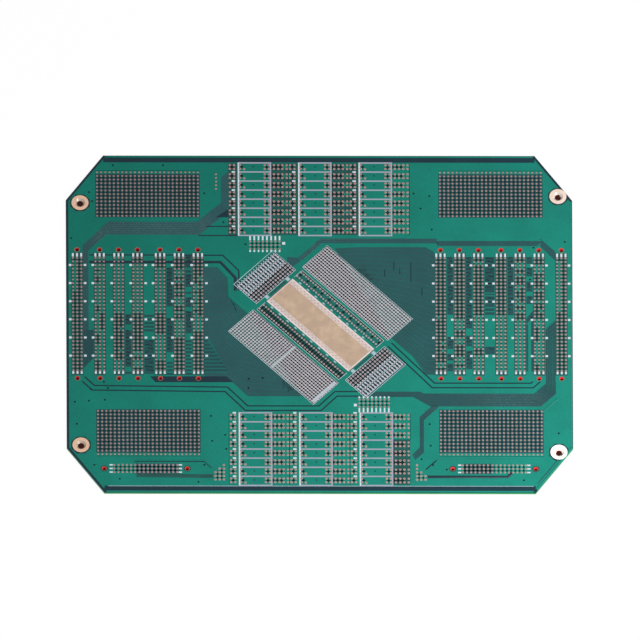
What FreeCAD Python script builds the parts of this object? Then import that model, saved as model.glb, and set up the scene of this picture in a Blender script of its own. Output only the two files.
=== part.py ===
"""Test circuit board: a bare multilayer interface board with cut corners and no parts fitted.

Frame: millimetres, +Z up, +X along the long side, origin at the centre of the underside.
Copper, lands and printed legend stand on the front face of the laminate.
"""

import FreeCAD, Part
import math
import os
import re

import Sketcher
from FreeCAD import Placement, Rotation, Vector

# Driving dimensions, in millimetres, degrees and counts
SIZES = {
    # Laminate and its front copper
    "board_length": 306.0,
    "board_width": 236.0,
    "corner_cut_x": 22.7,
    "corner_cut_y": 31.3,
    "laminate_thickness": 1.5,
    "copper_thickness": 0.1,
    "edge_pullback": 1.5,
    "rail_pullback": 0.3,
    "rail_width": 1.1,
    "bare_strip": 3.4,
    # Countersunk collars in the four corners
    "mount_inset": 8.6,
    "mount_span_west": 169.6,
    "mount_span_east": 179.0,
    "mount_bore": 3.6,
    "mount_countersink": 6.2,
    "mount_collar": 10.3,
    "mount_rise": 0.3,
    "mount_clearance": 0.7,
    # Lands on the common grid
    "land_pitch": 2.54,
    "land_size": 1.5,
    "land_height": 0.12,
    "window_margin": 0.3,
    # Connector footprints with a guide hole at both ends
    "connector_inner_x": 73.3,
    "connector_edge_inset": 6.68,
    "connector_group_gap": 2.22,
    "connector_y": 7.0,
    "connector_rows": 32,
    "connector_columns": 3,
    "guide_span": 90.0,
    "guide_hole": 2.9,
    "guide_clearance": 0.6,
    "end_bar_gap": 0.8,
    "end_bar_length": 2.2,
    "legend_height": 0.05,
    # Open land grids
    "grid_edge_inset": 49.4,
    "grid_upper_y": 91.0,
    "grid_lower_y": -76.0,
    "grid_columns": 25,
    "grid_rows": 13,
    # Small connectors at the front edge
    "small_edge_inset": 47.7,
    "small_y": -101.2,
    "small_columns": 16,
    "small_rows": 3,
    "small_guide_span": 50.2,
    # Headers beside the channel blocks
    "header_x": 32.8,
    "header_y": 55.3,
    "header_columns": 8,
    "header_rows": 3,
    # Channel blocks, three behind and three in front
    "channel_centre_x": -2.4,
    "channel_centre_y": 87.5,
    "channel_step": 36.5,
    "channel_count": 3,
    "channel_width": 20.3,
    "channel_cell": 6.35,
    "channel_cells": 8,
    "channel_line": 0.9,
    "channel_before_gap": 2.2,
    "channel_before_columns": 2,
    "channel_after_gap": 1.6,
    "channel_after_columns": 4,
    # Land clusters and the row of test lands
    "cluster_west_x": -60.7,
    "cluster_east_x": 61.1,
    "cluster_base_y": -108.8,
    "test_row_share": 0.57,
    "test_row_y": 99.8,
    "test_row_count": 5,
    # Contact area, turned on the board
    "centre_x": 0.6,
    "centre_y": -0.6,
    "centre_turn": -45.0,
    "plate_length": 69.6,
    "plate_width": 15.2,
    "plate_height": 0.2,
    "finger_length": 3.4,
    "finger_width": 4.8,
    "finger_pitch": 5.8,
    "finger_count": 12,
    "long_field_length": 72.3,
    "long_field_width": 21.2,
    "long_field_offset": 31.8,
    "long_field_rows": 9,
    "end_field_length": 17.6,
    "end_field_width": 33.2,
    "end_field_offset": 46.8,
    "end_field_rows": 8,
    "strip_offset": 15.7,
    "strip_pitch": 2.3,
    "strip_rows": 3,
    # Routed copper
    "track_width": 0.55,
    "gap_width": 0.9,
    "gap_spacing": 3.2,
    "northwest_tracks": 3,
    "northeast_tracks": 2,
    "southeast_tracks": 3,
    "branch_tracks": 2,
    "fan_tracks": 4,
}

doc = FreeCAD.newDocument("TestCircuitBoard")
sheet = doc.addObject("Spreadsheet::Sheet", "Sizes")
for row, (alias, size) in enumerate(SIZES.items(), start=1):
    sheet.set(f"A{row}", alias)
    sheet.set(f"B{row}", str(size))
    sheet.setAlias(f"B{row}", alias)
doc.recompute()

NODES = {}


def bound(text):
    """An expression in which each size's name points at its cell."""
    return re.sub(r"[a-z][a-z_]*", lambda word: "Sizes." + word.group(0), text)


def value(text):
    return float(sheet.evalExpression(bound(text)))


def count(text):
    return int(round(value(text)))


def minus(text):
    return f"-1 * ({text})"


def span(number, pitch="land_pitch"):
    """From the first to the last centre of a row."""
    return f"({number} - 1) * ({pitch})"


# Heights of the faces that pieces stand on
UNDERSIDE = "0"
FRONT = "laminate_thickness"
COPPER_TOP = "laminate_thickness + copper_thickness"

# Where the connectors, grids and holes stand


CONNECTOR_OUTER_X = "board_length / 2 - connector_edge_inset"
CONNECTOR_STEP = f"({CONNECTOR_OUTER_X} - connector_inner_x - 2 * connector_group_gap) / 6"


def connector_places():
    """Centres of the east connectors from the middle outwards, in groups of three, three and one."""
    places = ["connector_inner_x"]
    for step in [CONNECTOR_STEP, CONNECTOR_STEP, f"{CONNECTOR_STEP} + connector_group_gap"] * 2:
        places.append(f"{places[-1]} + {step}")
    return places


CONNECTORS = connector_places()
MOUNT_X = "board_length / 2 - mount_inset"
MOUNTS = {
    "nw": (minus(MOUNT_X), "mount_span_west / 2"),
    "sw": (minus(MOUNT_X), "mount_span_west / -2"),
    "ne": (MOUNT_X, "mount_span_east / 2"),
    "se": (MOUNT_X, "mount_span_east / -2"),
}
GRID_X = "board_length / 2 - grid_edge_inset"
GRIDS = {
    "nw": (minus(GRID_X), "grid_upper_y"),
    "ne": (GRID_X, "grid_upper_y"),
    "sw": (minus(GRID_X), "grid_lower_y"),
    "se": (GRID_X, "grid_lower_y"),
}
SMALL_X = "board_length / 2 - small_edge_inset"
SMALL = {"sw": minus(SMALL_X), "se": SMALL_X}
HEADERS = {"top": (minus("header_x"), "header_y"), "bottom": ("header_x", minus("header_y"))}
CLUSTERS = {"west": (3, 4, 5), "east": (5, 3, 2)}
CHANNELS = {"top": "channel_centre_y", "bottom": minus("channel_centre_y")}
CHANNEL_HEIGHT = "channel_cell * channel_cells"
FIRST_CHANNEL_X = "channel_centre_x - channel_step * (channel_count - 1) / 2"
BLOCK_EDGE_X = f"{FIRST_CHANNEL_X} - channel_width / 2 - channel_before_gap - land_pitch - land_size / 2"
GRID_INNER_X = f"({span('grid_columns')} + land_size) / 2 - ({GRID_X})"
TEST_ROW_X = f"{GRID_INNER_X} + test_row_share * ({BLOCK_EDGE_X} - ({GRID_INNER_X}))"
END_BAR_REACH = f"({span('connector_rows')} + land_size + end_bar_length) / 2 + end_bar_gap"
SIDES = {"northeast": 1, "southwest": -1}
ENDS = {"southeast": 1, "northwest": -1}


def guide_holes():
    """Centres of the guide holes: one at each end of every connector, large and small."""
    holes = []
    for x in CONNECTORS:
        for side_x in (x, minus(x)):
            holes.append((side_x, "connector_y + guide_span / 2"))
            holes.append((side_x, "connector_y - guide_span / 2"))
    for x in SMALL.values():
        holes.append((f"{x} - small_guide_span / 2", "small_y"))
        holes.append((f"{x} + small_guide_span / 2", "small_y"))
    return holes


# Bodies and sketches bound to the sheet


def new_body(label, x="0", y="0", z=FRONT, turn=None):
    body = doc.addObject("PartDesign::Body", label)
    body.Label = label
    if turn is not None:
        body.Placement = Placement(Vector(), Rotation(Vector(0, 0, 1), value(turn)))
    for axis, text in (("x", x), ("y", y), ("z", z)):
        body.setExpression(f"Placement.Base.{axis}", bound(text))
    NODES[label] = body
    return body


def new_sketch(body, name, plane="XY_Plane"):
    sketch = body.newObject("Sketcher::SketchObject", f"{body.Label}_{name}")
    support = [item for item in body.Origin.OriginFeatures if item.Role == plane][0]
    sketch.AttachmentSupport = [(support, "")]
    sketch.MapMode = "FlatFace"
    return sketch


def bind(sketch, constraint, text):
    index = sketch.addConstraint(constraint)
    sketch.setExpression(f"Constraints[{index}]", bound(text))


def place_point(sketch, edge, end, x, y):
    """Ties one point of a sketch edge to the sketch's origin."""
    bind(sketch, Sketcher.Constraint("DistanceX", -1, 1, edge, end, value(x)), x)
    bind(sketch, Sketcher.Constraint("DistanceY", -1, 1, edge, end, value(y)), y)


def add_loop(sketch, points):
    """A closed run of straight edges through points given as pairs of expressions."""
    first = sketch.GeometryCount
    corners = [Vector(value(x), value(y), 0) for x, y in points]
    total = len(corners)
    edges = [Part.LineSegment(corners[i], corners[(i + 1) % total]) for i in range(total)]
    sketch.addGeometry(edges, False)
    for i in range(total):
        sketch.addConstraint(Sketcher.Constraint("Coincident", first + i, 2, first + (i + 1) % total, 1))
    for i, (x, y) in enumerate(points):
        place_point(sketch, first + i, 1, x, y)


def add_rectangle(sketch, centre_x, centre_y, width, height):
    left, right = f"{centre_x} - ({width}) / 2", f"{centre_x} + ({width}) / 2"
    low, high = f"{centre_y} - ({height}) / 2", f"{centre_y} + ({height}) / 2"
    add_loop(sketch, [(left, low), (right, low), (right, high), (left, high)])


def add_circle(sketch, x, y, diameter):
    radius = value(diameter) / 2
    edge = sketch.addGeometry(Part.Circle(Vector(value(x), value(y), 0), Vector(0, 0, 1), radius), False)
    bind(sketch, Sketcher.Constraint("Diameter", edge, 2 * radius), diameter)
    place_point(sketch, edge, 3, x, y)


def pad(body, sketch, thickness):
    feature = body.newObject("PartDesign::Pad", f"{sketch.Name}_pad")
    feature.Profile = sketch
    feature.setExpression("Length", bound(thickness))
    body.Tip = feature
    doc.recompute()
    return feature


def pocket_through(body, sketch):
    feature = body.newObject("PartDesign::Pocket", f"{sketch.Name}_pocket")
    feature.Profile = sketch
    feature.Type = "ThroughAll"
    feature.Midplane = True
    body.Tip = feature
    doc.recompute()
    return feature


def repeat(body, feature, sketch, axis, number, pitch):
    """Copies of a feature at a pitch along one axis of its sketch."""
    pattern = body.newObject("PartDesign::LinearPattern", f"{body.Label}_pattern")
    pattern.Direction = (sketch, [axis])
    pattern.setExpression("Length", bound(span(number, pitch)))
    pattern.setExpression("Occurrences", bound(number))
    pattern.Originals = [feature]
    body.Tip = pattern


# Laminate and collars


def make_laminate():
    body = new_body("board_laminate", z=UNDERSIDE)
    half_x, half_y = "board_length / 2", "board_width / 2"
    quarter = [(half_x, f"{half_y} - corner_cut_y"), (f"{half_x} - corner_cut_x", half_y)]
    upper = quarter + [(minus(x), y) for x, y in reversed(quarter)]
    outline = new_sketch(body, "outline")
    add_loop(outline, upper + [(minus(x), minus(y)) for x, y in upper])
    pad(body, outline, "laminate_thickness")
    bores = new_sketch(body, "collar_bores")
    for x, y in MOUNTS.values():
        add_circle(bores, x, y, "mount_collar")
    pocket_through(body, bores)
    guides = new_sketch(body, "guide_holes")
    for x, y in guide_holes():
        add_circle(guides, x, y, "guide_hole")
    pocket_through(body, guides)


def make_mount_collar(label, x, y):
    """A collar pressed through the board, countersunk from the front and flush with the underside."""
    body = new_body(label, x=x, y=y, z=UNDERSIDE)
    profile = new_sketch(body, "profile", plane="XZ_Plane")
    bore, sink, collar = "mount_bore / 2", "mount_countersink / 2", "mount_collar / 2"
    top = f"{COPPER_TOP} + mount_rise"
    sink_base = f"{top} - ({sink} - {bore})"
    add_loop(profile, [(bore, "0"), (collar, "0"), (collar, top), (sink, top), (bore, sink_base)])
    turned = body.newObject("PartDesign::Revolution", f"{label}_turned")
    turned.Profile = profile
    turned.ReferenceAxis = (profile, ["V_Axis"])
    turned.Angle = 360.0
    body.Tip = turned


# Land patterns: the lands of one row or column are joined, because the board has thousands of them


def make_land_rows(label, x, y, columns, rows, base=FRONT):
    body = new_body(label, x=x, y=y, z=base)
    sketch = new_sketch(body, "row")
    add_rectangle(sketch, "0", minus(f"({span(rows)}) / 2"), f"{span(columns)} + land_size", "land_size")
    strip = pad(body, sketch, "land_height")
    repeat(body, strip, sketch, "V_Axis", rows, "land_pitch")


def make_connector(label, x):
    body = new_body(label, x=x, y="connector_y")
    sketch = new_sketch(body, "column")
    left = minus(f"({span('connector_columns')}) / 2")
    add_rectangle(sketch, left, "0", "land_size", f"{span('connector_rows')} + land_size")
    strip = pad(body, sketch, "land_height")
    repeat(body, strip, sketch, "H_Axis", "connector_columns", "land_pitch")


def make_end_bars():
    """Printed bars between the lands and the guide hole at both ends of every connector."""
    body = new_body("legend_end_bars", y="connector_y")
    sketch = new_sketch(body, "bars")
    width = f"{span('connector_columns')} + land_size"
    for x in CONNECTORS:
        for y in (END_BAR_REACH, minus(END_BAR_REACH)):
            add_rectangle(sketch, x, y, width, "end_bar_length")
    east = pad(body, sketch, "legend_height")
    both = body.newObject("PartDesign::Mirrored", "legend_end_bars_both")
    both.Originals = [east]
    both.MirrorPlane = (sketch, ["V_Axis"])
    body.Tip = both


def make_cluster(label, x, heights):
    """Land columns of unlike height that stand on one line."""
    body = new_body(label, x=x, y="cluster_base_y", z=COPPER_TOP)
    sketch = new_sketch(body, "columns")
    for column, height in enumerate(heights):
        x, tall = f"land_pitch * {column - 1}", f"land_pitch * {height - 1}"
        add_rectangle(sketch, x, f"({tall}) / 2", "land_size", f"{tall} + land_size")
    pad(body, sketch, "land_height")


def make_test_row():
    body = new_body("test_row_lands", x=TEST_ROW_X, y="test_row_y", z=COPPER_TOP)
    sketch = new_sketch(body, "land")
    add_rectangle(sketch, "0", minus(f"({span('test_row_count')}) / 2"), "land_size", "land_size")
    land = pad(body, sketch, "land_height")
    repeat(body, land, sketch, "V_Axis", "test_row_count", "land_pitch")


# Channel blocks


def make_channel_frame(label, x, y):
    """A printed ladder: an outer frame with one window for each channel."""
    body = new_body(label, x=x, y=y, z=COPPER_TOP)
    outer = new_sketch(body, "outer")
    add_rectangle(outer, "0", "0", "channel_width", f"{CHANNEL_HEIGHT} + channel_line")
    pad(body, outer, "legend_height")
    window = new_sketch(body, "window")
    lowest = minus(f"({span('channel_cells', 'channel_cell')}) / 2")
    add_rectangle(window, "0", lowest, "channel_width - 2 * channel_line", "channel_cell - channel_line")
    opening = pocket_through(body, window)
    repeat(body, opening, window, "V_Axis", "channel_cells", "channel_cell")


def make_channel_lands(label, y):
    """Land columns before and after every frame."""
    body = new_body(label, x=FIRST_CHANNEL_X, y=y)
    sketch = new_sketch(body, "columns")
    before = "channel_width / -2 - channel_before_gap"
    after = "channel_width / 2 + channel_after_gap"
    places = [f"{before} - land_pitch * {i}" for i in range(count("channel_before_columns"))]
    places += [f"{after} + land_pitch * {i}" for i in range(count("channel_after_columns"))]
    for x in places:
        add_rectangle(sketch, x, "0", "land_size", f"{CHANNEL_HEIGHT} - land_size")
    strips = pad(body, sketch, "land_height")
    repeat(body, strips, sketch, "H_Axis", "channel_count", "channel_step")


# Contact area at the middle, turned on the board


def centre_body(label):
    return new_body(label, x="centre_x", y="centre_y", turn="centre_turn")


def make_plate():
    body = centre_body("contact_plate")
    sketch = new_sketch(body, "plate")
    add_rectangle(sketch, "0", "0", "plate_length", "plate_width")
    pad(body, sketch, "plate_height")


def make_fingers(label, side):
    """A row of contact fingers along one long side of the plate."""
    body = centre_body(label)
    sketch = new_sketch(body, "finger")
    left = minus(f"({span('finger_count', 'finger_pitch')}) / 2")
    add_rectangle(sketch, left, f"{side} * (plate_width + finger_length) / 2", "finger_width", "finger_length")
    finger = pad(body, sketch, "plate_height")
    repeat(body, finger, sketch, "H_Axis", "finger_count", "finger_pitch")


def make_turned_rows(label, side, offset, length, width, rows, pitch):
    """Rows that run along the plate, beside it."""
    body = centre_body(label)
    sketch = new_sketch(body, "row")
    add_rectangle(sketch, "0", f"{side} * {offset} - ({span(rows, pitch)}) / 2", length, width)
    strip = pad(body, sketch, "land_height")
    repeat(body, strip, sketch, "V_Axis", rows, pitch)


def make_end_field(label, end):
    """Land rows that run across one end of the plate."""
    body = centre_body(label)
    sketch = new_sketch(body, "row")
    pitch = "(end_field_length - land_size) / (end_field_rows - 1)"
    first = f"{end} * end_field_offset - ({span('end_field_rows', pitch)}) / 2"
    add_rectangle(sketch, first, "0", "land_size", "end_field_width")
    strip = pad(body, sketch, "land_height")
    repeat(body, strip, sketch, "H_Axis", "end_field_rows", pitch)


def make_contact_area():
    make_plate()
    field_pitch = "(long_field_width - land_size) / (long_field_rows - 1)"
    for name, side in SIDES.items():
        make_fingers(f"plate_fingers_{name}", side)
        make_turned_rows(f"contact_field_{name}", side, "long_field_offset", "long_field_length",
                         "land_size", "long_field_rows", field_pitch)
        make_turned_rows(f"strip_lands_{name}", side, "strip_offset", "plate_length",
                         "track_width", "strip_rows", "strip_pitch")
    for name, end in ENDS.items():
        make_end_field(f"end_field_{name}", end)


# Flat shapes of the copper layers


def flat_face(points):
    corners = [Vector(x, y, 0) for x, y in points]
    return Part.Face(Part.makePolygon(corners + corners[:1]))


def box_face(x, y, width, height):
    """A rectangle centred on a point, all four given as expressions."""
    mid_x, mid_y = value(x), value(y)
    half_x, half_y = value(width) / 2, value(height) / 2
    return flat_face([(mid_x - half_x, mid_y - half_y), (mid_x + half_x, mid_y - half_y),
                      (mid_x + half_x, mid_y + half_y), (mid_x - half_x, mid_y + half_y)])


def to_board(shape):
    """Turns and moves a shape from the contact area's own frame onto the board."""
    shape.rotate(Vector(), Vector(0, 0, 1), value("centre_turn"))
    shape.translate(Vector(value("centre_x"), value("centre_y"), 0))
    return shape


def turned_point(along, across):
    point = to_board(Part.Vertex(value(along), value(across), 0)).Point
    return point.x, point.y


def octagon_face(x, y, diameter):
    """An eight-sided relief around a circle."""
    reach = value(diameter) / 2 / math.cos(math.pi / 8)
    angles = [math.pi / 8 + math.pi / 4 * i for i in range(8)]
    return flat_face([(value(x) + reach * math.cos(a), value(y) + reach * math.sin(a)) for a in angles])


def board_face(inset_x, inset_y):
    """The board's outline moved inwards: its sides and cut corners by inset_x, its long edges by inset_y."""
    half_x, half_y = value("board_length / 2"), value("board_width / 2")
    cut_x, cut_y = value("corner_cut_x"), value("corner_cut_y")
    edge_x, edge_y = half_x - value(inset_x), half_y - value(inset_y)
    reach = cut_y * half_x + cut_x * half_y - cut_x * cut_y - value(inset_x) * math.hypot(cut_x, cut_y)
    quarter = [(edge_x, (reach - cut_y * edge_x) / cut_x), ((reach - cut_x * edge_y) / cut_y, edge_y)]
    upper = quarter + [(-x, y) for x, y in reversed(quarter)]
    return flat_face(upper + [(-x, -y) for x, y in upper])


# Openings in the front copper

CLEAR = "land_size + 2 * window_margin"
GUIDE_CLEAR = "guide_hole + 2 * guide_clearance"


def greater(first, second):
    return first if value(first) > value(second) else second


def connector_windows():
    width = f"{span('connector_columns')} + {CLEAR}"
    bars = f"2 * ({END_BAR_REACH}) + end_bar_length + 2 * window_margin"
    height = greater(f"guide_span + {GUIDE_CLEAR}", bars)
    return [box_face(x, "connector_y", width, height) for c in CONNECTORS for x in (c, minus(c))]


def grid_windows():
    width, height = f"{span('grid_columns')} + {CLEAR}", f"{span('grid_rows')} + {CLEAR}"
    return [box_face(x, y, width, height) for x, y in GRIDS.values()]


def small_guide_windows():
    holes = [hole for hole in guide_holes() if hole[1] == "small_y"]
    return [octagon_face(x, y, GUIDE_CLEAR) for x, y in holes]


def channel_windows():
    """Bare fields under the land columns before, between and after the frames."""
    depths = {
        -1: f"channel_before_gap + {span('channel_before_columns')} + ({CLEAR}) / 2",
        1: f"channel_after_gap + {span('channel_after_columns')} + ({CLEAR}) / 2",
    }
    windows = []
    for y in CHANNELS.values():
        for i in range(count("channel_count")):
            for side, depth in depths.items():
                middle = f"{FIRST_CHANNEL_X} + channel_step * {i} + {side} * (channel_width + {depth}) / 2"
                windows.append(box_face(middle, y, depth, f"{CHANNEL_HEIGHT} - channel_line"))
    return windows


def centre_windows():
    """Bare fields under the plate with its fingers, the long and end fields and the land strips."""
    room = "2 * window_margin"
    strip_depth = f"{span('strip_rows', 'strip_pitch')} + track_width + {room}"
    boxes = [("0", "0", f"plate_length + {room}", f"plate_width + 2 * finger_length + {room}")]
    for side in SIDES.values():
        boxes.append(("0", f"{side} * long_field_offset", f"long_field_length + {room}",
                      f"long_field_width + {room}"))
        boxes.append(("0", f"{side} * strip_offset", f"plate_length + {room}", strip_depth))
    for end in ENDS.values():
        boxes.append((f"{end} * end_field_offset", "0", f"end_field_length + {room}",
                      f"end_field_width + {room}"))
    return [to_board(box_face(*box)) for box in boxes]


def bare_strips():
    """The copper-free strips inside the rails along the two long edges."""
    middle = "board_width / 2 - rail_pullback - rail_width - bare_strip / 2"
    return [box_face("0", y, "board_length - 2 * corner_cut_x", "bare_strip") for y in (middle, minus(middle))]


# Landmarks that the routes keep to, and the routing grid of a tenth of the land pitch

GRID = value("land_pitch / 10")
LANE = value(f"({CONNECTORS[6]}) - ({span('connector_columns')} + {CLEAR}) / 2")
FACE = value(f"({CONNECTORS[0]}) - ({span('connector_columns')} + {CLEAR}) / 2")
UPPER = value("connector_y + guide_span / 2")
LOWER = value("connector_y - guide_span / 2")
GRID_FLOOR = value(f"grid_upper_y - ({span('grid_rows')} + land_size) / 2")
GRID_CEILING = value(f"grid_lower_y + ({span('grid_rows')} + land_size) / 2")
BLOCK_LEFT = value(BLOCK_EDGE_X)
SMALL_Y = value("small_y")
SMALL_INNER = value(f"{SMALL_X} - small_guide_span / 2")
FIELD_OUT = "long_field_offset + long_field_width / 2"
FIELD_END = "long_field_length / 2"
FIELD_N = turned_point(minus(FIELD_END), FIELD_OUT)
FIELD_E = turned_point(FIELD_END, FIELD_OUT)
FIELD_W = turned_point(minus(FIELD_END), minus(FIELD_OUT))
FIELD_S = turned_point(FIELD_END, minus(FIELD_OUT))


def at(x, steps_x, y, steps_y):
    """A point so many routing steps from a landmark in each direction."""
    return x + steps_x * GRID, y + steps_y * GRID


# A route is a band between two sides with as many points each
NORTHWEST = (
    [at(-LANE, -1, LOWER, 50), at(-LANE, -1, UPPER, 12), at(-LANE, 60, GRID_FLOOR, -13),
     at(BLOCK_LEFT, -75, GRID_FLOOR, -13), at(BLOCK_LEFT, -18, GRID_FLOOR, 40),
     at(BLOCK_LEFT, -18, GRID_FLOOR, 104)],
    [at(-LANE, 13, LOWER, 50), at(-LANE, 13, UPPER, -2), at(-LANE, 55, GRID_FLOOR, -49),
     at(BLOCK_LEFT, -71, GRID_FLOOR, -49), at(BLOCK_LEFT, -4, GRID_FLOOR, 12),
     at(BLOCK_LEFT, -4, GRID_FLOOR, 104)],
)
NORTHEAST = (
    [at(FIELD_N[0], -69, FIELD_N[1], -33), at(FIELD_N[0], -16, FIELD_N[1], 20), at(FACE, 0, FIELD_N[1], 20),
     at(LANE, -36, FIELD_N[1], 20), at(LANE, 3, FIELD_N[1], -19)],
    [at(FIELD_N[0], -61, FIELD_N[1], -40), at(FIELD_N[0], -14, FIELD_N[1], 7), at(FACE, 0, FIELD_N[1], 7),
     at(LANE, -34, FIELD_N[1], 7), at(LANE, 3, FIELD_N[1], -30)],
)
SOUTHEAST = (
    [at(FIELD_E[0], -88, LOWER, -36), at(FACE, -34, LOWER, -36), at(FACE, -28, LOWER, -41),
     at(LANE, -52, LOWER, -41), at(LANE, -24, LOWER, -13), at(LANE, -24, LOWER, 135)],
    [at(FIELD_E[0], -103, LOWER, -51), at(FACE, -52, LOWER, -51), at(FACE, -12, GRID_CEILING, 10),
     at(LANE, -36, GRID_CEILING, 10), at(LANE, 0, GRID_CEILING, 46), at(LANE, 0, LOWER, 160)],
)
BRANCH = (
    [at(FACE, -7, GRID_CEILING, 12), at(FACE, -37, GRID_CEILING, -19),
     at(FACE, -37, GRID_CEILING, -103), at(FACE, -55, GRID_CEILING, -123)],
    [at(FACE, 9, GRID_CEILING, 9), at(FACE, -27, GRID_CEILING, -28),
     at(FACE, -27, GRID_CEILING, -117), at(FACE, -48, GRID_CEILING, -138)],
)
WEST_FAN = (
    [at(-FACE, 0, UPPER, -48), at(-FACE, 35, UPPER, -48), at(-FACE, 59, UPPER, -77),
     at(-FACE, 59, FIELD_W[1], 97), at(FIELD_W[0], 45, FIELD_W[1], 53)],
    [at(-FACE, 0, LOWER, 5), at(-FACE, 53, LOWER, 5), at(-FACE, 103, LOWER, -49),
     at(-FACE, 172, LOWER, -49), at(FIELD_S[0], -26, LOWER, -49)],
)
EAST_FAN = (
    [at(FACE, 0, UPPER, -6), at(FACE, -21, UPPER, 8), at(FACE, -117, UPPER, 8), at(FACE, -180, UPPER, 8),
     at(FIELD_N[0], 17, UPPER, 4)],
    [at(FACE, 0, LOWER, 11), at(FACE, -22, LOWER, 11), at(FIELD_E[0], 0, FIELD_E[1], -103),
     at(FIELD_E[0], -28, FIELD_E[1], -76), at(FIELD_E[0], -48, FIELD_E[1], -55)],
)

# Lines along which the front copper is interrupted
SOUTH_GAP = [at(-LANE, 0, LOWER, 7), at(-LANE, 26, LOWER, -20), at(-FACE, 55, LOWER, -24),
             at(-FACE, 103, GRID_CEILING, 11), at(FIELD_S[0], 13, GRID_CEILING, 11),
             at(FIELD_S[0], 51, LOWER, -36), at(FIELD_S[0], 115, LOWER, -36)]
WEST_GAP = [at(-FACE, 0, UPPER, -15), at(-FACE, 45, UPPER, -15), at(-FACE, 83, UPPER, -57),
            at(-FACE, 83, UPPER, -112)]
EAST_GAP = [at(FIELD_E[0], -59, FIELD_E[1], -75), at(FACE, -7, LOWER, -25), at(LANE, -54, LOWER, -25),
            at(LANE, -37, LOWER, -8), at(LANE, -37, LOWER, 160)]
SMALL_WEST_GAP = [at(-SMALL_INNER, -126, SMALL_Y, 20), at(-SMALL_INNER, 40, SMALL_Y, 20),
                  at(-SMALL_INNER, 58, SMALL_Y, 2)]
SMALL_EAST_GAP = [at(SMALL_INNER, -64, SMALL_Y, -2), at(SMALL_INNER, -36, SMALL_Y, 26),
                  at(SMALL_INNER, 150, SMALL_Y, 26)]


def offset_line(points, distance):
    """Points moved sideways to the left by a distance, with mitred corners."""
    headings = []
    for tail, tip in zip(points, points[1:]):
        length = math.dist(tail, tip)
        headings.append(((tip[0] - tail[0]) / length, (tip[1] - tail[1]) / length))
    moved = []
    for i, (x, y) in enumerate(points):
        into, out = headings[max(i - 1, 0)], headings[min(i, len(headings) - 1)]
        side = (-into[1] - out[1], into[0] + out[0])
        scale = 2 * distance / (side[0] ** 2 + side[1] ** 2)
        moved.append((x + side[0] * scale, y + side[1] * scale))
    return moved


def ribbon(points, width):
    return flat_face(offset_line(points, width / 2) + offset_line(points, -width / 2)[::-1])


def band(route):
    return flat_face(route[0] + route[1][::-1])


def gaps():
    width, spacing = value("gap_width"), value("gap_spacing")
    lines = [SOUTH_GAP, offset_line(SOUTH_GAP, -spacing), WEST_GAP, EAST_GAP, offset_line(EAST_GAP, spacing),
             SMALL_WEST_GAP, SMALL_EAST_GAP]
    return [ribbon(line, width) for line in lines]


def tracks(route, number):
    """Evenly shared tracks that follow a route from its one side to the other."""
    faces = []
    for i in range(number):
        share = (i + 0.5) / number
        middle = [(a[0] + share * (b[0] - a[0]), a[1] + share * (b[1] - a[1])) for a, b in zip(*route)]
        faces.append(ribbon(middle, value("track_width")))
    return faces


def add_flat_node(label, faces, base, thickness):
    """A node cut from sheet: flat faces lifted to a height and given a thickness."""
    solids = []
    for face in faces:
        lifted = face.copy()
        lifted.translate(Vector(0, 0, value(base)))
        solids.append(lifted.extrude(Vector(0, 0, value(thickness))))
    feature = doc.addObject("Part::Feature", label)
    feature.Label = label
    feature.Shape = Part.Compound(solids)
    NODES[label] = feature


def make_front_copper():
    """The tracks run in bands cut from the copper, and stay clear of every land's window."""
    windows = connector_windows() + grid_windows() + channel_windows() + centre_windows()
    windows += small_guide_windows() + bare_strips()
    windows += [octagon_face(x, y, "mount_collar + 2 * mount_clearance") for x, y in MOUNTS.values()]
    routes = {
        "tracks_northwest": (NORTHWEST, "northwest_tracks"),
        "tracks_northeast": (NORTHEAST, "northeast_tracks"),
        "tracks_southeast": (SOUTHEAST, "southeast_tracks"),
        "tracks_branch": (BRANCH, "branch_tracks"),
        "tracks_west_fan": (WEST_FAN, "fan_tracks"),
        "tracks_east_fan": (EAST_FAN, "fan_tracks"),
    }
    taken = list(windows)
    for label, (route, number) in routes.items():
        track_faces = Part.Compound(tracks(route, count(number))).common(band(route)).cut(taken)
        add_flat_node(label, track_faces.Faces, FRONT, "copper_thickness")
        taken.append(band(route))
    copper = board_face("edge_pullback", "rail_pullback").cut(taken + gaps())
    add_flat_node("front_copper", copper.Faces, FRONT, "copper_thickness")


def make_board():
    make_laminate()
    for corner, (x, y) in MOUNTS.items():
        make_mount_collar(f"mount_collar_{corner}", x, y)
    for corner, (x, y) in GRIDS.items():
        make_land_rows(f"land_grid_{corner}", x, y, "grid_columns", "grid_rows")
    for number, x in enumerate(CONNECTORS, start=1):
        make_connector(f"connector_west_{number}", minus(x))
        make_connector(f"connector_east_{number}", x)
    make_end_bars()
    for corner, x in SMALL.items():
        make_land_rows(f"small_connector_{corner}", x, "small_y", "small_columns", "small_rows", COPPER_TOP)
    for place, (x, y) in HEADERS.items():
        make_land_rows(f"header_{place}", x, y, "header_columns", "header_rows", COPPER_TOP)
    for side, heights in CLUSTERS.items():
        make_cluster(f"land_cluster_{side}", f"cluster_{side}_x", heights)
    make_test_row()
    for place, y in CHANNELS.items():
        make_channel_lands(f"channel_lands_{place}", y)
        for i in range(count("channel_count")):
            make_channel_frame(f"channel_frame_{place}_{i + 1}", f"{FIRST_CHANNEL_X} + channel_step * {i}", y)
    make_contact_area()
    make_front_copper()


def check_document():
    for item in doc.Objects:
        if {"Invalid", "Error"} & set(item.State):
            raise RuntimeError(f"{item.Name} did not compute: {item.State}")
    for label, node in NODES.items():
        if node.Shape.isNull() or not node.Shape.isValid() or not node.Shape.Solids:
            raise RuntimeError(f"{label} has no sound solid")


make_board()
doc.recompute()
check_document()
os.makedirs("parts", exist_ok=True)
for label, node in NODES.items():
    node.Shape.exportStep(f"parts/{label}.step")
print(len(NODES), "nodes")
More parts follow.
